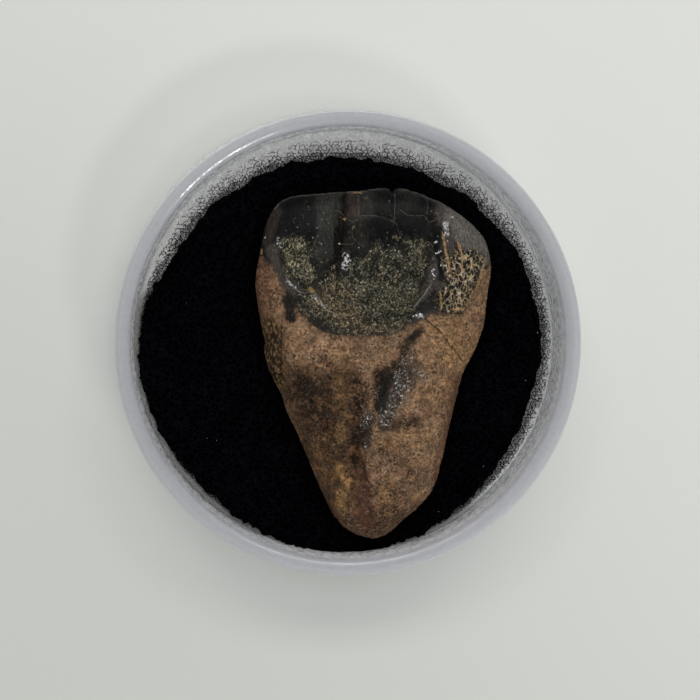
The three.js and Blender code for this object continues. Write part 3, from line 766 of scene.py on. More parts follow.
def dish_finish(place, colour, bright):
    """Olive, tan and golden grains in the dish: colour, how far they cover it, and where fibres show."""
    cloud = noise(place, 1.2, 5.0, 0.65)
    sparse = mesh_value(place, "fibres") * 0.22
    density = mesh_value(place, "dish_grain") + sparse + between(cloud, 0.3, 0.7, -0.4, 0.25)
    cover = between(density, 0.1, 0.8)
    amount = between(density, 0.0, 1.0, 0.1, 0.52)
    tan_patch = frayed(place, "dish_tan", 1.6, 1.3, 0.5)
    bed = blend(between(noise(place, 3.0, 4.0), 0.35, 0.65), paint(18, 19, 19), paint(46, 45, 38))
    bed = blend(tan_patch * 0.75, bed, paint(66, 58, 46))
    tint = blend(between(noise(place, 1.6), 0.4, 0.6), paint(82, 83, 72), paint(100, 92, 72))
    tint = blend(tan_patch * 0.7, tint, paint(132, 112, 82))
    tint = blend(between(bright, 0.54, 0.7), tint, paint(160, 153, 130))
    tint = blend(between(bright, 0.52, 0.4), tint, paint(58, 57, 47))
    colour = blend(cover * 0.85, colour, bed)
    fibres = strongest(
        strands(place, 0.1, 0.7, 0.14, amount), strands(place, 0.85, 0.6, 0.13, amount),
        strands(place, -0.75, 0.6, 0.13, amount),
    )
    shown = fibres * between(density, 0.0, 0.5)
    colour = blend(shown * 0.8, colour, tint)
    yellow = mesh_value(place, "dish_yellow") + between(cloud, 0.3, 0.7, -0.45, 0.3)
    threads = strongest(strands(place, 0.5, 0.5, 0.15, 0.36), strands(place, -0.35, 0.7, 0.14, 0.34))
    golden = blend(between(bright, 0.44, 0.6), paint(116, 104, 74), paint(178, 172, 144))
    colour = blend(between(yellow, 0.3, 0.9) * threads * 0.85, colour, golden)
    dark = flecks(place, 7.5, 0.44, 0.04, 0.8)
    return blend(dark * cover * 0.8, colour, paint(13, 14, 14)), cover, shown


def net_finish(place, colour, bright):
    """The tan net on the crown's right lobe: colour, where it lies, and its threads."""
    net = frayed(place, "lobe_net", 1.5, 1.9, 0.35)
    shift = vector_calc("SCALE", {0: noise(place, 2.6, roughness=0.5, output=1), "Scale": 0.5})
    moved = vector_calc("ADD", {0: place, 1: shift})
    thin = between(noise(place, 1.8), 0.35, 0.65, 0.1, 0.27)
    web = 1.0 - between(cell_edge(stretched(moved, 1.0, 0.75, 1.0), 2.7), thin * 0.3, thin)
    web = web * between(noise(place, 2.4, 4.0), 0.4, 0.52, 0.2, 1.0)
    tan = blend(between(noise(place, 1.3), 0.4, 0.6), paint(122, 114, 90), paint(152, 128, 94))
    tan = blend(between(bright, 0.48, 0.62), tan, paint(186, 172, 148))
    hollow = blend(between(bright, 0.4, 0.6), paint(14, 16, 19), paint(46, 43, 39))
    return blend(net, colour, blend(web, hollow, tan)), net, web


def crown_finish(place):
    """Dark worn enamel and dentine: colour, roughness and height."""
    band = noise(stretched(place, 1.4, 0.5, 1.0), 0.9, 4.0)
    colour = blend(between(band, 0.35, 0.65), paint(15, 16, 17), paint(28, 27, 25))
    colour = layer_paint(place, colour, [
        # lighter bands, partly painted sheen
        ("band_light_and_sheen", 0.75, 1.6, 0.6, paint(43, 43, 40)),
        ("band_dark", 0.85, 1.6, 0.6, paint(8, 9, 11)),
        ("band_brown", 0.6, 2.2, 0.7, paint(51, 43, 38)),
        ("groove_brown", 0.95, 3.0, 0.5, paint(12, 9, 6)),
        ("lip_smooth", 0.85, 1.8, 0.9, paint(64, 59, 56)),
        ("lobe_pale", 0.9, 1.6, 0.7, paint(88, 84, 79)),
    ], 0.4)
    streak = noise(stretched(place, 7.0, 1.4, 3.0), 1.0, 3.0, 0.6)
    colour = shaded(colour, between(streak, 0.25, 0.75, 0.7, 1.4))
    scratch = noise(stretched(place, 9.0, 3.2, 6.0), 1.0, 3.0, 0.7)
    colour = shaded(colour, between(scratch, 0.35, 0.65, 0.62, 1.42))
    bright = noise(place, 5.5, 2.0)
    colour, cover, shown = dish_finish(place, colour, bright)
    colour, net, web = net_finish(place, colour, bright)
    rough = 0.36 + cover * 0.22 + net * 0.14
    return colour, rough, shown * 0.9 + web * net + streak * 0.25


def wet_finish(place, colour, grit):
    """The dark glossy streak down the root: colour, coat and painted glints."""
    wet = frayed(place, "wet", 2.0, 1.2, 0.35)
    colour = blend(wet * 0.75, colour, paint(26, 24, 21))
    curl = calc(place.tree, "ABSOLUTE", noise(place, 3.0, 2.0, 0.6, 1.2) - 0.5)
    gleam = between(curl, 0.045, 0.012) * between(grit, 0.46, 0.56)
    # Painted highlights: the glints are light flecks in the base colour
    gleam = strongest(gleam, flecks(place, 5.0, 0.36, 0.03, 0.8)) * frayed(place, "glint", 1.8, 1.0, 0.3)
    return blend(gleam * 0.92, colour, paint(224, 221, 210)), wet * 0.25, gleam


def root_finish(place):
    """Brown granular root: colour, coat and height."""
    broad = noise(place, 0.5, 5.0, 0.65)
    colour = blend(between(broad, 0.36, 0.64), paint(102, 81, 63), paint(126, 100, 77))
    colour = layer_paint(place, colour, [
        # left flank, partly painted shade
        ("root_left_shade", 0.97, 0.8, 1.0, paint(48, 36, 26)),
        ("root_tip", 0.97, 0.8, 0.8, paint(58, 43, 33)),
        ("root_red", 0.75, 1.2, 1.2, paint(80, 54, 42)),
        ("root_tan", 0.5, 1.3, 1.9, paint(136, 106, 68)),
        ("root_gold", 0.5, 2.4, 2.2, paint(142, 108, 68)),
        ("tip_groove", 0.9, 1.4, 0.8, paint(66, 45, 35)),
        ("root_dark_and_shade", 0.97, 1.2, 0.9, paint(32, 25, 20)),
        ("root_black_shadow", 0.95, 1.6, 0.8, paint(15, 14, 13)),
    ], 0.45)
    patch = noise(place, 0.95, 5.0, 0.7)
    colour = blend(between(patch, 0.5, 0.7, 0.0, 0.45), colour, paint(136, 100, 68))
    second = noise(stretched(place, 1.0, 1.0, -1.0), 1.15, 5.0, 0.7)
    colour = blend(between(second, 0.52, 0.7, 0.0, 0.5), colour, paint(70, 60, 52))
    medium = noise(place, 2.0, 5.0, 0.72)
    colour = shaded(colour, between(medium, 0.3, 0.7, 0.52, 1.5))
    grit = noise(place, 5.0, 3.0, 0.75)
    calm = between(noise(place, 0.8, 2.0), 0.4, 0.62, 0.5, 1.0)
    calm = calm * between(mesh_value(place, "tip_groove"), 0.2, 0.9, 1.0, 0.35)
    colour = shaded(colour, 1.0 + (between(grit, 0.36, 0.64, 0.3, 1.75) - 1.0) * calm)
    pale = strongest(strands(place, 0.6, 0.42, 0.18, 0.3), strands(place, -0.9, 0.42, 0.18, 0.3)) * calm
    lit = between(mesh_value(place, "root_left_shade"), 1.0, 0.2, 0.1, 0.45)
    colour = blend(pale * lit, colour, paint(166, 142, 114))
    rust = between(noise(place, 2.7, 2.0), 0.56, 0.68)
    colour = blend(rust * 0.35, colour, paint(112, 74, 54))
    worm = strongest(strands(place, -0.7, 0.8, 0.3, 0.6), strands(place, 0.3, 0.7, 0.26, 0.45))
    creased = mesh_value(place, "wrinkle")
    colour = blend(creased * 0.7, colour, paint(118, 94, 66))
    colour = blend(creased * worm * 0.9, colour, paint(26, 21, 15))
    pits = flecks(place, 4.0, 0.26, 0.03, 0.8)
    colour = blend(pits * 0.8, colour, paint(22, 17, 14))
    colour, coat, gleam = wet_finish(place, colour, grit)
    return colour, coat, medium * 1.8 + grit - pits * 0.6 + gleam * 2.0


def cracks_crumbs_and_glints(place, colour):
    """Painted white glints, fine lines, specks, caught crumbs with painted glints among them, and a painted
    highlight along the worn edge.
    """
    # Painted highlights: glints on the lips and rib, broken into flecks
    sparkle = frayed(place, "lip_glint", 3.4, 1.1, 0.35) * flecks(place, 4.4, 0.52, 0.04, 0.8)
    colour = blend(sparkle * 0.85, colour, paint(192, 191, 192))
    broken = between(noise(place, 4.5), 0.4, 0.56, 0.25, 1.0)
    for name, half_width, waver, share, shade in (
        ("pale_crack", 0.045, 0.12, 0.36, paint(116, 106, 88)),
        ("dark_crack", 0.055, 0.16, 0.85, paint(10, 9, 8)),
        ("ochre_streak", 0.14, 0.3, 0.8, paint(162, 129, 88)),
        # the last lines are painted highlights along the lips
        ("lip_glint_streak", 0.06, 0.22, 0.5, paint(152, 146, 142)),
    ):
        colour = blend(hairline(place, name, half_width, waver) * share * broken, colour, shade)
    speck = between(noise(place, 6.0, 2.0), 0.71, 0.75)
    colour = blend(speck * 0.7, colour, paint(166, 158, 140))
    # White crumbs, with painted highlights for the glints among them
    crumb_and_glint = between(mesh_value(place, "crumb_and_glint_gap"), 0.03, -0.03)
    colour = blend(crumb_and_glint, colour, paint(196, 194, 192))
    # Painted highlight: a pale line along the worn edge, broken up by noise
    broken_edge_highlight = between(noise(place, 2.6), 0.42, 0.6, 0.1, 0.75)
    edge = between(mesh_value(place, "edge_gap"), 0.17, 0.05)
    return blend(edge * broken_edge_highlight, colour, paint(104, 96, 88))


def tooth_material():
    material, place, shader = new_material("fossil tooth")
    crown_colour, crown_rough, crown_height = crown_finish(place)
    root_colour, coat, root_height = root_finish(place)
    line = mesh_value(place, "crown_gap") + (noise(place, 1.9, 5.0, 0.7) - 0.5) * 1.3
    is_crown = between(line, -0.16, 0.24)
    is_root = 1.0 - is_crown
    colour = blend(is_crown, root_colour, crown_colour)
    margin = between(line, -0.8, 0.0) * between(line, 1.2, 0.2)
    colour = blend(margin * 0.25, colour, paint(56, 50, 43))
    # dark patches, partly painted shade in the grooves
    colour = layer_paint(place, colour, [("dark_patch_and_shade", 0.8, 1.7, 1.4, paint(25, 25, 22))], 0.4)
    colour = layer_paint(place, colour, [("nodule", 0.85, 4.0, 1.5, paint(138, 112, 76))], 0.2)
    height = crown_height * is_crown + root_height * is_root - hairline(place, "dark_crack", 0.08)
    fill(shader, {
        "Base Color": cracks_crumbs_and_glints(place, colour),
        "Roughness": crown_rough * is_crown + is_root * 0.62,
        "Specular IOR Level": 0.05,
        "Coat Weight": coat * is_root,
        "Coat Roughness": 0.16,
        "Normal": bump(height, 0.08),
    })
    return material


def foam_material(name, strut_colour, pore_colour, cell_size, depth_mm, shine):
    material, place, shader = new_material(name)
    strut = effect(place, "cells", {"Cell Size": cell_size}, "Strut")
    cloud = between(noise(place, 0.5), 0.3, 0.7, 0.7, 1.0)
    colour = blend(strut * cloud, pore_colour, strut_colour)
    # The white ply is darkened where the black ply reaches far out over it: partly painted shade, partly
    # loose black fibres
    fill(shader, {
        "Base Color": blend(mesh_value(place, "shade_and_fibres"), colour, shaded(colour, 0.42)),
        "Roughness": 1.0,
        "Specular IOR Level": shine,
        "Normal": bump(strut.other_output("Height"), depth_mm),
    })
    return material


def cup_material():
    """Milky plastic with painted shade round its lip, turned marks, small nicks and an uneven gloss."""
    material, place, shader = new_material("milky cup plastic")
    tree = place.tree
    colour = blend(noise(place, 0.35, 4.0), (0.92, 0.925, 0.955, 1.0), (0.955, 0.96, 0.98, 1.0))
    high = add_node(tree, "ShaderNodeSeparateXYZ", {0: place}, output=2)
    # Painted shade: the rim's top is painted darker than the walls, and the slope into the cup darker still
    lip = between(high, CUP_HEIGHT - 1.2, CUP_HEIGHT - 0.1)
    colour = blend(lip, colour, (0.56, 0.568, 0.605, 1.0))
    outward = vector_calc("LENGTH", {0: stretched(place, 1.0, 1.0, 0.0)}, "Value")
    inner_slope_shade = lip * between(outward, 18.6, 17.9, 0.0, 0.5)
    colour = blend(inner_slope_shade, colour, (0.42, 0.426, 0.45, 1.0))
    swirl = noise(add_node(tree, "ShaderNodeCombineXYZ", {0: outward}), 7.0, 2.0)
    colour = shaded(colour, between(swirl, 0.35, 0.65, 0.93, 1.06))
    nick = flecks(place, 2.4, 0.1, 0.02, 0.5)
    colour = shaded(colour, between(nick, 0.0, 1.0, 1.0, 0.85))
    fill(shader, {
        "Base Color": colour,
        "Roughness": 0.36 + flecks(place, 1.3, 0.14, 0.05, 3.0) * 0.2,
        "IOR": 1.49,
        "Transmission Weight": 0.4,
        "Subsurface Weight": 1.0,
        "Subsurface Radius": (1.0, 1.02, 1.08),
        "Subsurface Scale": 3.5 * MM,
        "Coat Weight": between(noise(place, 2.0, 4.0, 0.7), 0.48, 0.54, 0.05, 1.0),
        "Coat Roughness": 0.08,
    })
    clear = add_node(tree, "ShaderNodeBsdfTransparent", {"Color": (0.56, 0.57, 0.6, 1.0)})
    in_shadow = add_node(tree, "ShaderNodeLightPath", {}, "Is Shadow Ray")
    sides = {0: in_shadow, 1: Value(tree, shader.outputs[0]), 2: clear}
    fill(tree.nodes["Material Output"], {"Surface": add_node(tree, "ShaderNodeMixShader", sides)})
    return material


def floor_material():
    material, place, shader = new_material("pale surface")
    # Painted light: the floor is painted darker towards the lower left and lighter towards the upper right
    painted_falloff = vector_calc("DOT_PRODUCT", {0: place, 1: (0.008, 0.009, 0.0)}, "Value")
    colour = blend(between(painted_falloff, -0.6, 0.5), paint(193, 196, 190), paint(215, 217, 212))
    fill(shader, {"Base Color": colour, "Roughness": 0.8, "Specular IOR Level": 0.1})
    return material


# Tooth

def as_seen(x, y, z):
    """Where a raised point shows in the plane of the outline, which the marks are placed in."""
    lean = z / (CAMERA_RISE - z)
    return x + (x - CAMERA_FOOT[0]) * lean, y + (y - CAMERA_FOOT[1]) * lean


def worn_nick(x, along_mm):
    """The small notch at the crack in the worn edge, and fine chips along it."""
    notch = 0.26 * np.exp(-(((x - 1.5) / 0.16) ** 2)) + 0.1 * np.exp(-(((x - 3.1) / 0.3) ** 2))
    places = np.stack([x, np.zeros(x.shape), np.zeros(x.shape)], axis=-1).reshape(-1, 3)
    chips = 0.05 * drift(places, 0.45, 31).reshape(x.shape)
    return (notch + chips) * np.exp(-along_mm / 0.5)


def tooth_shape(rows, columns):
    """The loft of the tooth as rings of points: the first is the worn edge folded flat."""
    left, right, edge = (spline_points(side) for side in (LEFT_SIDE, RIGHT_SIDE, WORN_EDGE))
    even = np.arange(rows) / rows
    along = (0.6 * even + 0.4 * (1 - np.cos(np.pi * even)) / 2)[:, None]
    step = np.arange(columns * 2)[None, :]
    upper = step <= columns
    part = np.where(upper, step / columns, (columns * 2 - step) / columns)
    across = 0.45 * part + 0.55 * (1 - np.cos(np.pi * part)) / 2
    start, end = along_curve(left, along), along_curve(right, along)
    on_edge = along_curve(edge, across)
    bulge = np.maximum(0, 1 - along / 0.3) ** 2
    corner_left, corner_right = left[0], right[0]
    x = start[..., 0] * (1 - across) + end[..., 0] * across
    y = start[..., 1] * (1 - across) + end[..., 1] * across
    x = x + (on_edge[..., 0] - corner_left[0] * (1 - across) - corner_right[0] * across) * bulge
    y = y + (on_edge[..., 1] - corner_left[1] * (1 - across) - corner_right[1] * across) * bulge
    y = y - worn_nick(x, along * TOOTH_LENGTH)
    squareness = np.where(upper, UPPER_SQUARENESS, LOWER_SQUARENESS)
    section = np.sqrt(np.maximum(0, 1 - np.abs(2 * across - 1) ** squareness))
    ends = round_off(along * TOOTH_LENGTH, EDGE_ROUNDING)
    ends = ends * round_off((1 - along) * TOOTH_LENGTH, TIP_ROUNDING)
    body = np.where(upper, profile_at(UPPER_PROFILE, along), profile_at(LOWER_PROFILE, along))
    seen_x, seen_y = as_seen(x, y, body * section * ends)
    above = relief(seen_x, seen_y, UPPER_FORMS, UPPER_LINES)
    forms = np.where(upper, above, relief(x, y, LOWER_FORMS, LOWER_LINES))
    height = (body + forms * section) * section * ends
    z = np.where(upper, height, np.maximum(-height, FLAT_SPOT))
    points = np.stack([x, y, z], axis=-1).reshape(-1, 3)
    tip = np.array([[left[-1][0], left[-1][1], 0.0]])
    return np.concatenate([points, tip])


def tooth_faces(rows, columns):
    """Faces of the loft, with the two halves of the first ring joined along the worn edge."""
    size = columns * 2
    faces = ring_faces(rows, size)
    folded = np.arange(rows * size + 1)
    folded[columns + 1:size] = size - np.arange(columns + 1, size)
    quads = folded[faces]
    last = (rows - 1) * size
    k = np.arange(size)
    fan = np.stack([last + k, np.full(size, rows * size), last + (k + 1) % size], axis=-1)
    used, compact = np.unique(np.concatenate([quads.ravel(), fan.ravel()]), return_inverse=True)
    quads = compact[:quads.size].reshape(-1, 4)
    fan = compact[quads.size:].reshape(-1, 3)
    return used, quads.tolist() + fan.tolist()


def tooth_values(points):
    """What the finish needs to know at each point of the tooth."""
    x, y = as_seen(*points.T)
    z = points[:, 2]
    facing = ease(z, -0.8, 0.3)
    flat = points * (1, 1, 0)
    sway_x = 0.16 * drift(flat, 1.3, 201) + 0.1 * drift(flat, 0.45, 203)
    sway_y = 0.16 * drift(flat, 1.3, 205) + 0.1 * drift(flat, 0.45, 207)
    values = {}
    for name, strokes in MARKS.items():
        fading = ROOT_FADING if name.startswith("root") else CROWN_FADING
        values[name] = mark_strength(x + sway_x, y + sway_y, strokes, *fading) * facing
    values["crown_gap"] = path_gap(x, y, CROWN_LINE)
    values["edge_gap"] = np.abs(path_gap(x, y, WORN_EDGE)) + 0.6 * np.maximum(0, -z)
    to_crumbs_and_glints = [np.hypot(x - dot_x, y - dot_y) - 1.3 * size for dot_x, dot_y, size in CRUMBS_AND_GLINTS]
    values["crumb_and_glint_gap"] = np.min(to_crumbs_and_glints, axis=0) + 1 - facing
    for name, lines in LINES.items():
        gaps = np.stack([path_gap(x + sway_x / 3, y + sway_y / 3, path) for path in lines])
        nearest = np.argmin(np.abs(gaps), axis=0)
        gap = gaps[nearest, np.arange(len(x))]
        values[f"{name}_gap"] = gap
        values[f"{name}_on"] = facing * (1 - ease(np.abs(gap), 0.15, 0.4))
    return values


def fine_relief(points, values):
    """Grain, pits, wrinkles and cracks too small for the solid, as millimetres along the surface."""
    crown = ease(values["crown_gap"], -0.1, 0.3)
    grain = np.clip(values["dish_grain"] + values["lobe_net"], 0, 1) * crown
    root = 1 - crown
    rise = 0.1 * grain * (0.5 - pebbles(points, 0.36, 5))
    rise += root * (0.09 * rough_drift(points, 1.1, 11) + 0.05 * drift(points, 0.3, 17))
    rise += (1 - grain) * crown * 0.03 * rough_drift(points, 1.6, 23)
    rise += values["wrinkle"] * 0.12 * drift(points * (1.0, 2.6, 1.0), 0.6, 41)
    rise += values["wet"] * 0.1 * drift(points, 0.4, 47)
    for name, depth in (("pale_crack", 0.02), ("dark_crack", 0.08)):
        rise -= depth * values[f"{name}_on"] * np.exp(-((values[f"{name}_gap"] / 0.1) ** 2))
    rise += 0.05 * (values["crumb_and_glint_gap"] < 0.02)
    return rise


def fossil_tooth(material):
    """The tooth and its points in the part's frame, which the black foam is pressed round."""
    rows, columns = 280, 168
    points = tooth_shape(rows, columns)
    used, faces = tooth_faces(rows, columns)
    points = points[used]
    piece = make_object("fossil_tooth", points + TOOTH_PLACE, faces, material)
    values = tooth_values(points)
    flat = points[:, 2] <= FLAT_SPOT + 1e-6
    calm = ease(np.abs(points[:, 2]) + 0.2, 0.0, 0.5)
    rise = fine_relief(points, values) * np.where(flat, 0, calm)
    moved = points + TOOTH_PLACE + vertex_directions(piece.data) * rise[:, None]
    moved[:, 2] = np.clip(moved[:, 2], tooth_low.z, tooth_high.z)
    piece.data.vertices.foreach_set("co", (moved * MM).ravel())
    piece.data.update()
    keep_values(piece, values)
    settle(piece, "fossil_tooth", "tooth")
    return moved


# Foam

def black_reach(turn):
    """Radius that the black ply reaches, for turns in radians."""
    degrees = np.degrees(turn) % 360
    turns, reach = np.array(BLACK_REACH, float).T
    index = np.clip(np.searchsorted(turns, degrees, side="right") - 1, 0, len(turns) - 2)
    mix = ease(degrees, turns[index], turns[index + 1])
    return reach[index] * (1 - mix) + reach[index + 1] * mix


def room_for_foam(turn, wall_radius):
    """How far a wall round the cup's middle is from the foam's middle, for turns in radians."""
    along = FOAM_CENTRE[0] * np.cos(turn) + FOAM_CENTRE[1] * np.sin(turn)
    return np.sqrt(along**2 - FOAM_CENTRE @ FOAM_CENTRE + wall_radius**2) - along


def black_border(turn):
    """The black ply's border, lumpy over the white one and torn at the wall.

    Gives its radius, how torn it is, and the places that its lumps were taken from.
    """
    edge = black_reach(turn)
    places = np.column_stack([circle(turn, BORDER_CIRCLE), np.zeros(len(turn))])
    torn = ease(edge, 16.5, 16.9)
    lumps = 0.2 * drift(places, 1.6, 60) + 0.14 * drift(places, 0.7, 61) + 0.08 * drift(places, 0.3, 67)
    teeth = 0.34 * np.abs(drift(places, 0.62, 62)) + 0.2 * np.abs(drift(places, 0.27, 68))
    edge = edge + (1 - torn) * lumps + torn * (0.1 * drift(places, 2.2, 64) + 0.14 - teeth)
    return np.minimum(edge, room_for_foam(turn, CUP_RADIUS - WALL - WALL_GAP)), torn, places


def press_hollow(top, flat, tooth_points):
    """Lowers the foam's top under the tooth, and a little round it."""
    touching = 0.16
    clearance = 0.06
    sag = 0.28
    sag_width = 0.7
    under = tooth_points[tooth_points[:, 2] < TOOTH_PLACE[2] + 0.05]
    tree = kdtree.KDTree(len(under))
    for index, point in enumerate(under):
        tree.insert((point[0], point[1], 0), index)
    tree.balance()
    for index, place in enumerate(flat):
        _, found, gap = tree.find(place)
        if gap < touching:
            top[index] = min(top[index], under[found][2] - clearance)
        else:
            top[index] -= sag * math.exp(-((gap / sag_width) ** 2))
    return np.maximum(top, BOND + 0.12)


def black_foam(material, tooth_points):
    """The black ply: cells on top, a lumpy torn border, and the hollow that holds the tooth."""
    turns, steps = 640, 96
    sink = 0.14
    border_drop = 0.75
    border_width = 0.9
    turn = np.linspace(0, 2 * np.pi, turns, endpoint=False)
    edge, torn, places = black_border(turn)
    radius = (np.linspace(0, 1, steps + 1)[1:] ** 0.8)[:, None] * edge[None, :]
    across = FOAM_CENTRE + radius[..., None] * circle(turn)
    flat = np.column_stack([across.reshape(-1, 2), np.zeros(radius.size)])
    cells = 0.18 * (pebbles(flat, 0.5, 71) - 0.5) + 0.07 * drift(flat, 0.25, 73) + 0.1 * drift(flat, 3.5, 75)
    inset = (edge[None, :] - radius).ravel()
    border = border_drop * (1 - 0.8 * np.tile(torn, steps))
    top = FOAM_TOP - sink + cells - border * (1 - round_off(inset, border_width))
    top = press_hollow(top, flat, tooth_points)

    rings = [np.column_stack([flat[:, :2], top])]
    border_top = top.reshape(steps, turns)[-1]
    levels = np.linspace(0, 1, 6)[1:]
    for level in levels:
        sway = 0.05 * drift(places + (0, 0, 3 * level), 0.5, 79) * (1 - level)
        ring = FOAM_CENTRE + circle(turn) * (edge + sway)[:, None]
        rings.append(np.column_stack([ring, border_top * (1 - level) + BOND * level]))
    ends = [[*FOAM_CENTRE, top[0]], [*FOAM_CENTRE, BOND]]
    faces = closed_faces(steps + len(levels), turns)
    piece = make_object("black_foam", np.concatenate(rings + [ends]), faces, material)
    return settle(piece, "black_foam", "black_foam_layer")


def strut_net(spacing, random):
    """A jittered honeycomb over the foam: its corners, and the struts between them."""
    count = int(2.4 * FOAM_RADIUS / spacing) + 2
    i, j = np.meshgrid(np.arange(-count, count), np.arange(-count, count), indexing="ij")
    x = (i + 0.5 * j) * spacing
    y = j * spacing * math.sqrt(3) / 2
    step = np.array([0.5, math.sqrt(3) / 6]) * spacing
    corners = np.stack([np.stack([x, y], axis=-1) + step, np.stack([x, y], axis=-1) + 2 * step])
    corners = corners + random.normal(0, spacing * 0.17, corners.shape)
    number = np.arange(corners[..., 0].size).reshape(corners.shape[:-1])
    struts = np.concatenate([
        np.stack([number[0].ravel(), number[1].ravel()], axis=-1),
        np.stack([number[0][1:].ravel(), number[1][:-1].ravel()], axis=-1),
        np.stack([number[0][:, 1:].ravel(), number[1][:, :-1].ravel()], axis=-1),
    ])
    return corners.reshape(-1, 2), struts


def strut_shape(a, middle, b, thick):
    """Nine points of a thin three-sided strut, narrower in the middle."""
    run = (b - a) / np.linalg.norm(b - a)
    side = np.cross(run, (0.0, 0.0, 1.0))
    side /= max(np.linalg.norm(side), 1e-6)
    up = np.cross(side, run)
    return [
        centre + size * (math.cos(angle) * side + math.sin(angle) * up)
        for centre, size in ((a, thick * 1.4), (middle, thick * 0.8), (b, thick * 1.4))
        for angle in (0.5, 2.6, 4.7)
    ]


# Sides and ends over the nine points of a strut
STRUT_FACES = np.array([
    [ring + k, ring + (k + 1) % 3, ring + 3 + (k + 1) % 3, ring + 3 + k] for ring in (0, 3) for k in range(3)
])
STRUT_ENDS = np.array([[2, 1, 0], [6, 7, 8]])


def foam_fringe(material):
    """Loose struts of the black ply that thin out over the white one."""
    points, faces = [], []
    for spacing, reach, seed in FRINGE_LAYERS:
        random = np.random.default_rng(seed)
        places, struts = strut_net(spacing, random)
        radius = np.hypot(*places.T)
        solid = black_reach(np.arctan2(places[:, 1], places[:, 0]))
        beyond = radius - solid
        reach_here = reach * (1 - 0.75 * ease(solid, 16.4, 17.0)) * (1 - ease(solid, 17.0, 17.5))
        near = (beyond > -0.3) & (beyond < reach_here) & (radius < FOAM_RADIUS - 0.2)
        height = FOAM_TOP - 0.15 - 0.75 * ease(beyond, -0.4, 0.6) + random.normal(0, 0.06, len(places))
        height = np.clip(height, WHITE_LIP + 0.02, FOAM_TOP - 0.02)
        corners = np.column_stack([places, height])
        for first, second in struts[near[struts[:, 0]] & near[struts[:, 1]]]:
            out = (beyond[first] + beyond[second]) / 2 / reach
            if random.random() > 1.0 - 0.55 * max(out, 0.0) ** 1.5:
                continue
            a, b = corners[first], corners[second]
            middle = (a + b) / 2 + random.normal(0, 0.03, 3)
            start = len(points)
            points += strut_shape(a, middle, b, random.uniform(0.012, 0.026))
            faces += (STRUT_FACES + start).tolist() + (STRUT_ENDS + start).tolist()
    piece = make_object("foam_fringe", np.array(points) + (*FOAM_CENTRE, 0.0), faces, material)
    return settle(piece, "black_foam")


def turned_piece(name, profile, turns, material, centre=(0.0, 0.0), wear=None):
    """A closed turned body: the profile runs from the axis below to the axis above."""
    turn = np.linspace(0, 2 * np.pi, turns, endpoint=False)
    radius, height = np.array(profile[1:-1]).T
    across = radius[:, None, None] * circle(turn)
    points = np.concatenate([across, np.repeat(height[:, None, None], turns, axis=1)], axis=-1).reshape(-1, 3)
    if wear is not None:
        points = wear(points)
    ends = [[0.0, 0.0, profile[0][1]], [0.0, 0.0, profile[-1][1]]]
    points = np.concatenate([points, ends]) + (*centre, 0.0)
    faces = [face[::-1] for face in closed_faces(len(radius), turns)]
    return make_object(name, points, faces, material)


def arc(centre_r, centre_z, radius, first, last, steps):
    """Points on a quarter or half round in the turned profile, angles in degrees."""
    turns = np.radians(np.linspace(first, last, steps))
    return [(centre_r + radius * math.cos(t), centre_z + radius * math.sin(t)) for t in turns]


def worn_white(points):
    """Presses the white ply out to the wall, lowers it under the black one and gives it cells."""
    turn = np.arctan2(points[:, 1], points[:, 0])
    reach = black_reach(turn)
    lifted = ease(points[:, 2], BOND, BOND + 1.0)
    points[:, :2] *= (1 + 0.3 / FOAM_RADIUS * ease(reach, 16.5, 17.0) * lifted)[:, None]
    to_wall = np.maximum(room_for_foam(turn, WHITE_REACH) / FOAM_RADIUS - 1, 0)
    outer = ease(np.hypot(*points[:, :2].T), FOAM_RADIUS - 1.0, FOAM_RADIUS - 0.1)
    points[:, :2] *= (1 + to_wall * outer * lifted)[:, None]
    radius = np.hypot(*points[:, :2].T)
    height = points[:, 2]
    dip = ease(reach - radius, 0.15, 0.5) * (height > WHITE_LIP - WHITE_ROUNDING - 0.01)
    points[:, 2] = height * (1 - dip) + np.minimum(height, BOND - 0.08) * dip
    shown = ease(points[:, 2], BOND + 0.4, BOND + 1.0)
    points[:, 2] += shown * (0.05 * (pebbles(points, 0.36, 83) - 0.6) + 0.05 * drift(points, 1.4, 89))
    side = (radius > FOAM_RADIUS - 0.05) & (points[:, 2] > FOAM_BOTTOM + 0.1)
    points[:, :2] *= (1 - side * (0.0022 + 0.003 * drift(points, 0.5, 97)))[:, None]
    points[:, 2] = np.clip(points[:, 2], FOAM_BOTTOM, WHITE_LIP + 0.05)
    return points


def white_foam(material):
    """The white ply: its rounded lip rises round the black one where that stops short."""
    lip = FOAM_RADIUS - WHITE_ROUNDING
    shoulder = WHITE_LIP - WHITE_ROUNDING
    profile = [(0.0, FOAM_BOTTOM)]
    profile += [(r, FOAM_BOTTOM) for r in (6.0, 12.0, 16.6, FOAM_RADIUS)]
    profile += [(FOAM_RADIUS, z) for z in np.linspace(FOAM_BOTTOM, shoulder, 14)[1:]]
    profile += arc(lip, shoulder, WHITE_ROUNDING, 0, 90, 7)[1:]
    profile += [(r, WHITE_LIP) for r in np.arange(lip - 0.15, 13.6, -0.15)]
    profile += [(r, BOND - 0.05) for r in (13.3, 8.0, 0.0)]
    piece = turned_piece("white_foam", profile, 420, material, FOAM_CENTRE, worn_white)
    places = np.zeros(len(piece.data.vertices) * 3)
    piece.data.vertices.foreach_get("co", places)
    x, y, _ = (places.reshape(-1, 3) / MM - (*FOAM_CENTRE, 0.0)).T
    # Where the white ply is darkened: partly painted shade, partly loose black fibres
    keep_values(piece, {"shade_and_fibres": ease(black_reach(np.arctan2(y, x)), 16.45, 17.0)})
    return settle(piece, "white_foam", "white_foam_layer")


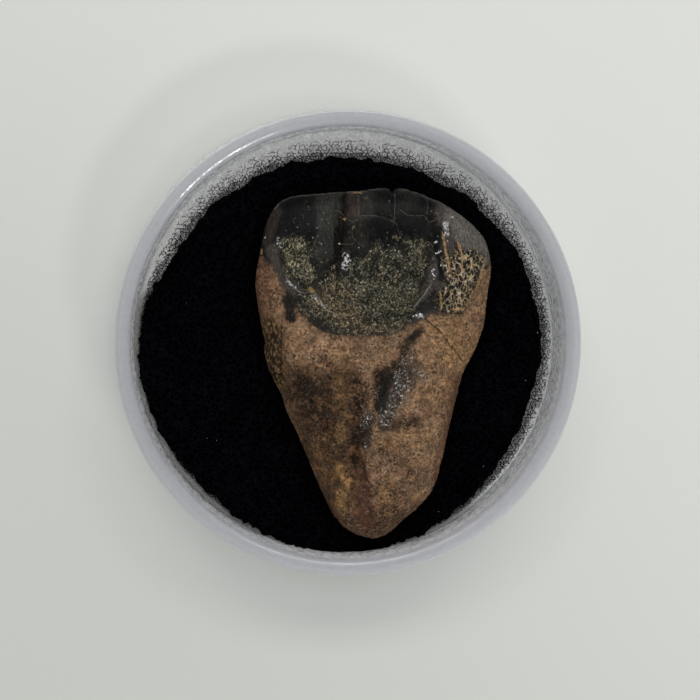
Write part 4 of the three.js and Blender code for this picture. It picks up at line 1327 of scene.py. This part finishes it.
def dust(material):
    """A few pale specks caught on the black foam, each a small long octahedron."""
    corners = np.array([(1, 0, 0), (-1, 0, 0), (0, 1, 0), (0, -1, 0), (0, 0, 1), (0, 0, -1)], float)
    sides = [(0, 2, 4), (2, 1, 4), (1, 3, 4), (3, 0, 4), (2, 0, 5), (1, 2, 5), (3, 1, 5), (0, 3, 5)]
    points, faces = [], []
    for index, (x, y, size) in enumerate(SPECKS):
        turned = np.array(Matrix.Rotation(index * 1.1, 3, "Z"))
        shape = corners * (1.0, 0.6, 0.6) * size @ turned.T
        points.append(shape + (x, y, FOAM_TOP - 0.04))
        faces += [tuple(len(corners) * index + corner for corner in side) for side in sides]
    piece = make_object("dust_specks", np.concatenate(points), faces, material)
    return settle(piece, "white_foam")


# Cup

def clear_cup(material):
    """The cup with its foot ring, rounded corner, straight wall and rolled lip."""
    inner = CUP_RADIUS - WALL
    foot = CUP_RADIUS - CORNER - FOOT_WIDTH
    floor = FOAM_BOTTOM
    profile = [(r, FOOT_HEIGHT) for r in (0.0, foot * 0.5, foot - 0.1)]
    profile += [(foot + FOOT_HEIGHT - 0.1, 0.05), (foot + FOOT_HEIGHT, 0.0), (CUP_RADIUS - CORNER - 0.1, 0.0)]
    profile += arc(CUP_RADIUS - CORNER, CORNER, CORNER, -90, 0, 9)
    profile += [(CUP_RADIUS, z) for z in np.linspace(CORNER + 0.5, CUP_HEIGHT - RIM_ROUNDING - 0.1, 5)]
    profile += arc(CUP_RADIUS - RIM_ROUNDING, CUP_HEIGHT - RIM_ROUNDING, RIM_ROUNDING, 0, 90, 7)
    profile += [(radius, CUP_HEIGHT - drop) for radius, drop in LIP_SLOPE]
    profile += [(inner, z) for z in np.linspace(CUP_HEIGHT - LIP_DEPTH, floor + 0.3, 5)]
    profile += arc(inner - 0.2, floor + 0.2, 0.2, 0, -90, 5)
    profile += [(inner * 0.5, floor), (0.0, floor)]
    piece = turned_piece("clear_cup", profile, 256, material)
    return settle(piece, "clear_plastic", "display_cup")


# Stage, light and camera

def pale_floor(material):
    half = 600.0
    points = np.array([(-half, -half, 0), (half, -half, 0), (half, half, 0), (-half, half, 0)], float)
    floor = make_object("pale_floor", points, [(0, 1, 2, 3)], material)


def soft_light(name, direction, distance_mm, size_mm, watts, colour):
    data = bpy.data.lights.new(name, "AREA")
    data.shape = "RECTANGLE"
    data.size, data.size_y = (side * MM for side in size_mm)
    data.energy = watts
    data.color = colour
    lamp = bpy.data.objects.new(name, data)
    towards = Vector(direction).normalized()
    lamp.location = towards * distance_mm * MM
    lamp.rotation_euler = towards.to_track_quat("Z", "Y").to_euler()
    bpy.context.scene.collection.objects.link(lamp)


def studio():
    """Two soft lamps over the photo's lower right and top, and a room that is dimmer overhead."""
    soft_light("lamp_lower_right", (0.27, -0.39, 1.0), 900, (150, 90), 1.25, (1.0, 0.98, 0.955))
    soft_light("lamp_top", (0.0, 0.51, 1.0), 900, (560, 170), 2.8, (1.0, 0.99, 0.98))
    world = bpy.data.worlds.new("soft room")
    world.use_nodes = True
    tree = world.node_tree
    direction = add_node(tree, "ShaderNodeTexCoord", {}, "Generated")
    upward = add_node(tree, "ShaderNodeSeparateXYZ", {0: direction}, output=2)
    strength = between(upward, 0.72, 0.95, 0.62, 0.1)
    fill(tree.nodes["Background"], {"Color": (0.985, 0.99, 1.0, 1.0), "Strength": strength})
    bpy.context.scene.world = world


def camera():
    """The photo's view: almost straight down, leaning in from over the crown's left corner."""
    photo_width = 700
    focal_px = 3074
    sensor_mm = 36.0
    distance_mm = 250.0
    lean = Vector((0.0518, -0.0809, -0.9954)).normalized()
    aim = Vector((0.106, -0.45, CUP_HEIGHT))
    up = (Vector((0, 1, 0)) - lean * lean.y).normalized()
    right = lean.cross(up)
    data = bpy.data.cameras.new("view")
    data.sensor_width = sensor_mm
    data.lens = sensor_mm * focal_px / photo_width
    data.clip_start = 0.01
    data.clip_end = 10.0
    view = bpy.data.objects.new("view", data)
    turn = Matrix((right, up, -lean)).transposed()
    view.matrix_world = Matrix.Translation((aim - lean * distance_mm) * MM) @ turn.to_4x4()
    bpy.context.scene.collection.objects.link(view)
    bpy.context.scene.camera = view
    bpy.context.scene.view_settings.view_transform = "Standard"


camera()
studio()
pale_floor(floor_material())
black_finish = foam_material("black foam ply", paint(9, 10, 14), paint(1, 1, 2), 0.42, 0.2, 0.0)
# The loose struts are painted lighter than the black ply: partly their thinness, partly painted light bounced
# off the white ply
fringe_finish = foam_material("loose black struts", paint(30, 31, 36), paint(12, 12, 15), 0.42, 0.2, 0.0)
white_finish = foam_material("white foam ply", paint(206, 207, 203), paint(184, 185, 182), 0.3, 0.05, 0.1)
black_foam(black_finish, fossil_tooth(tooth_material()))
foam_fringe(fringe_finish)
white_foam(white_finish)
dust(white_finish)
clear_cup(cup_material())
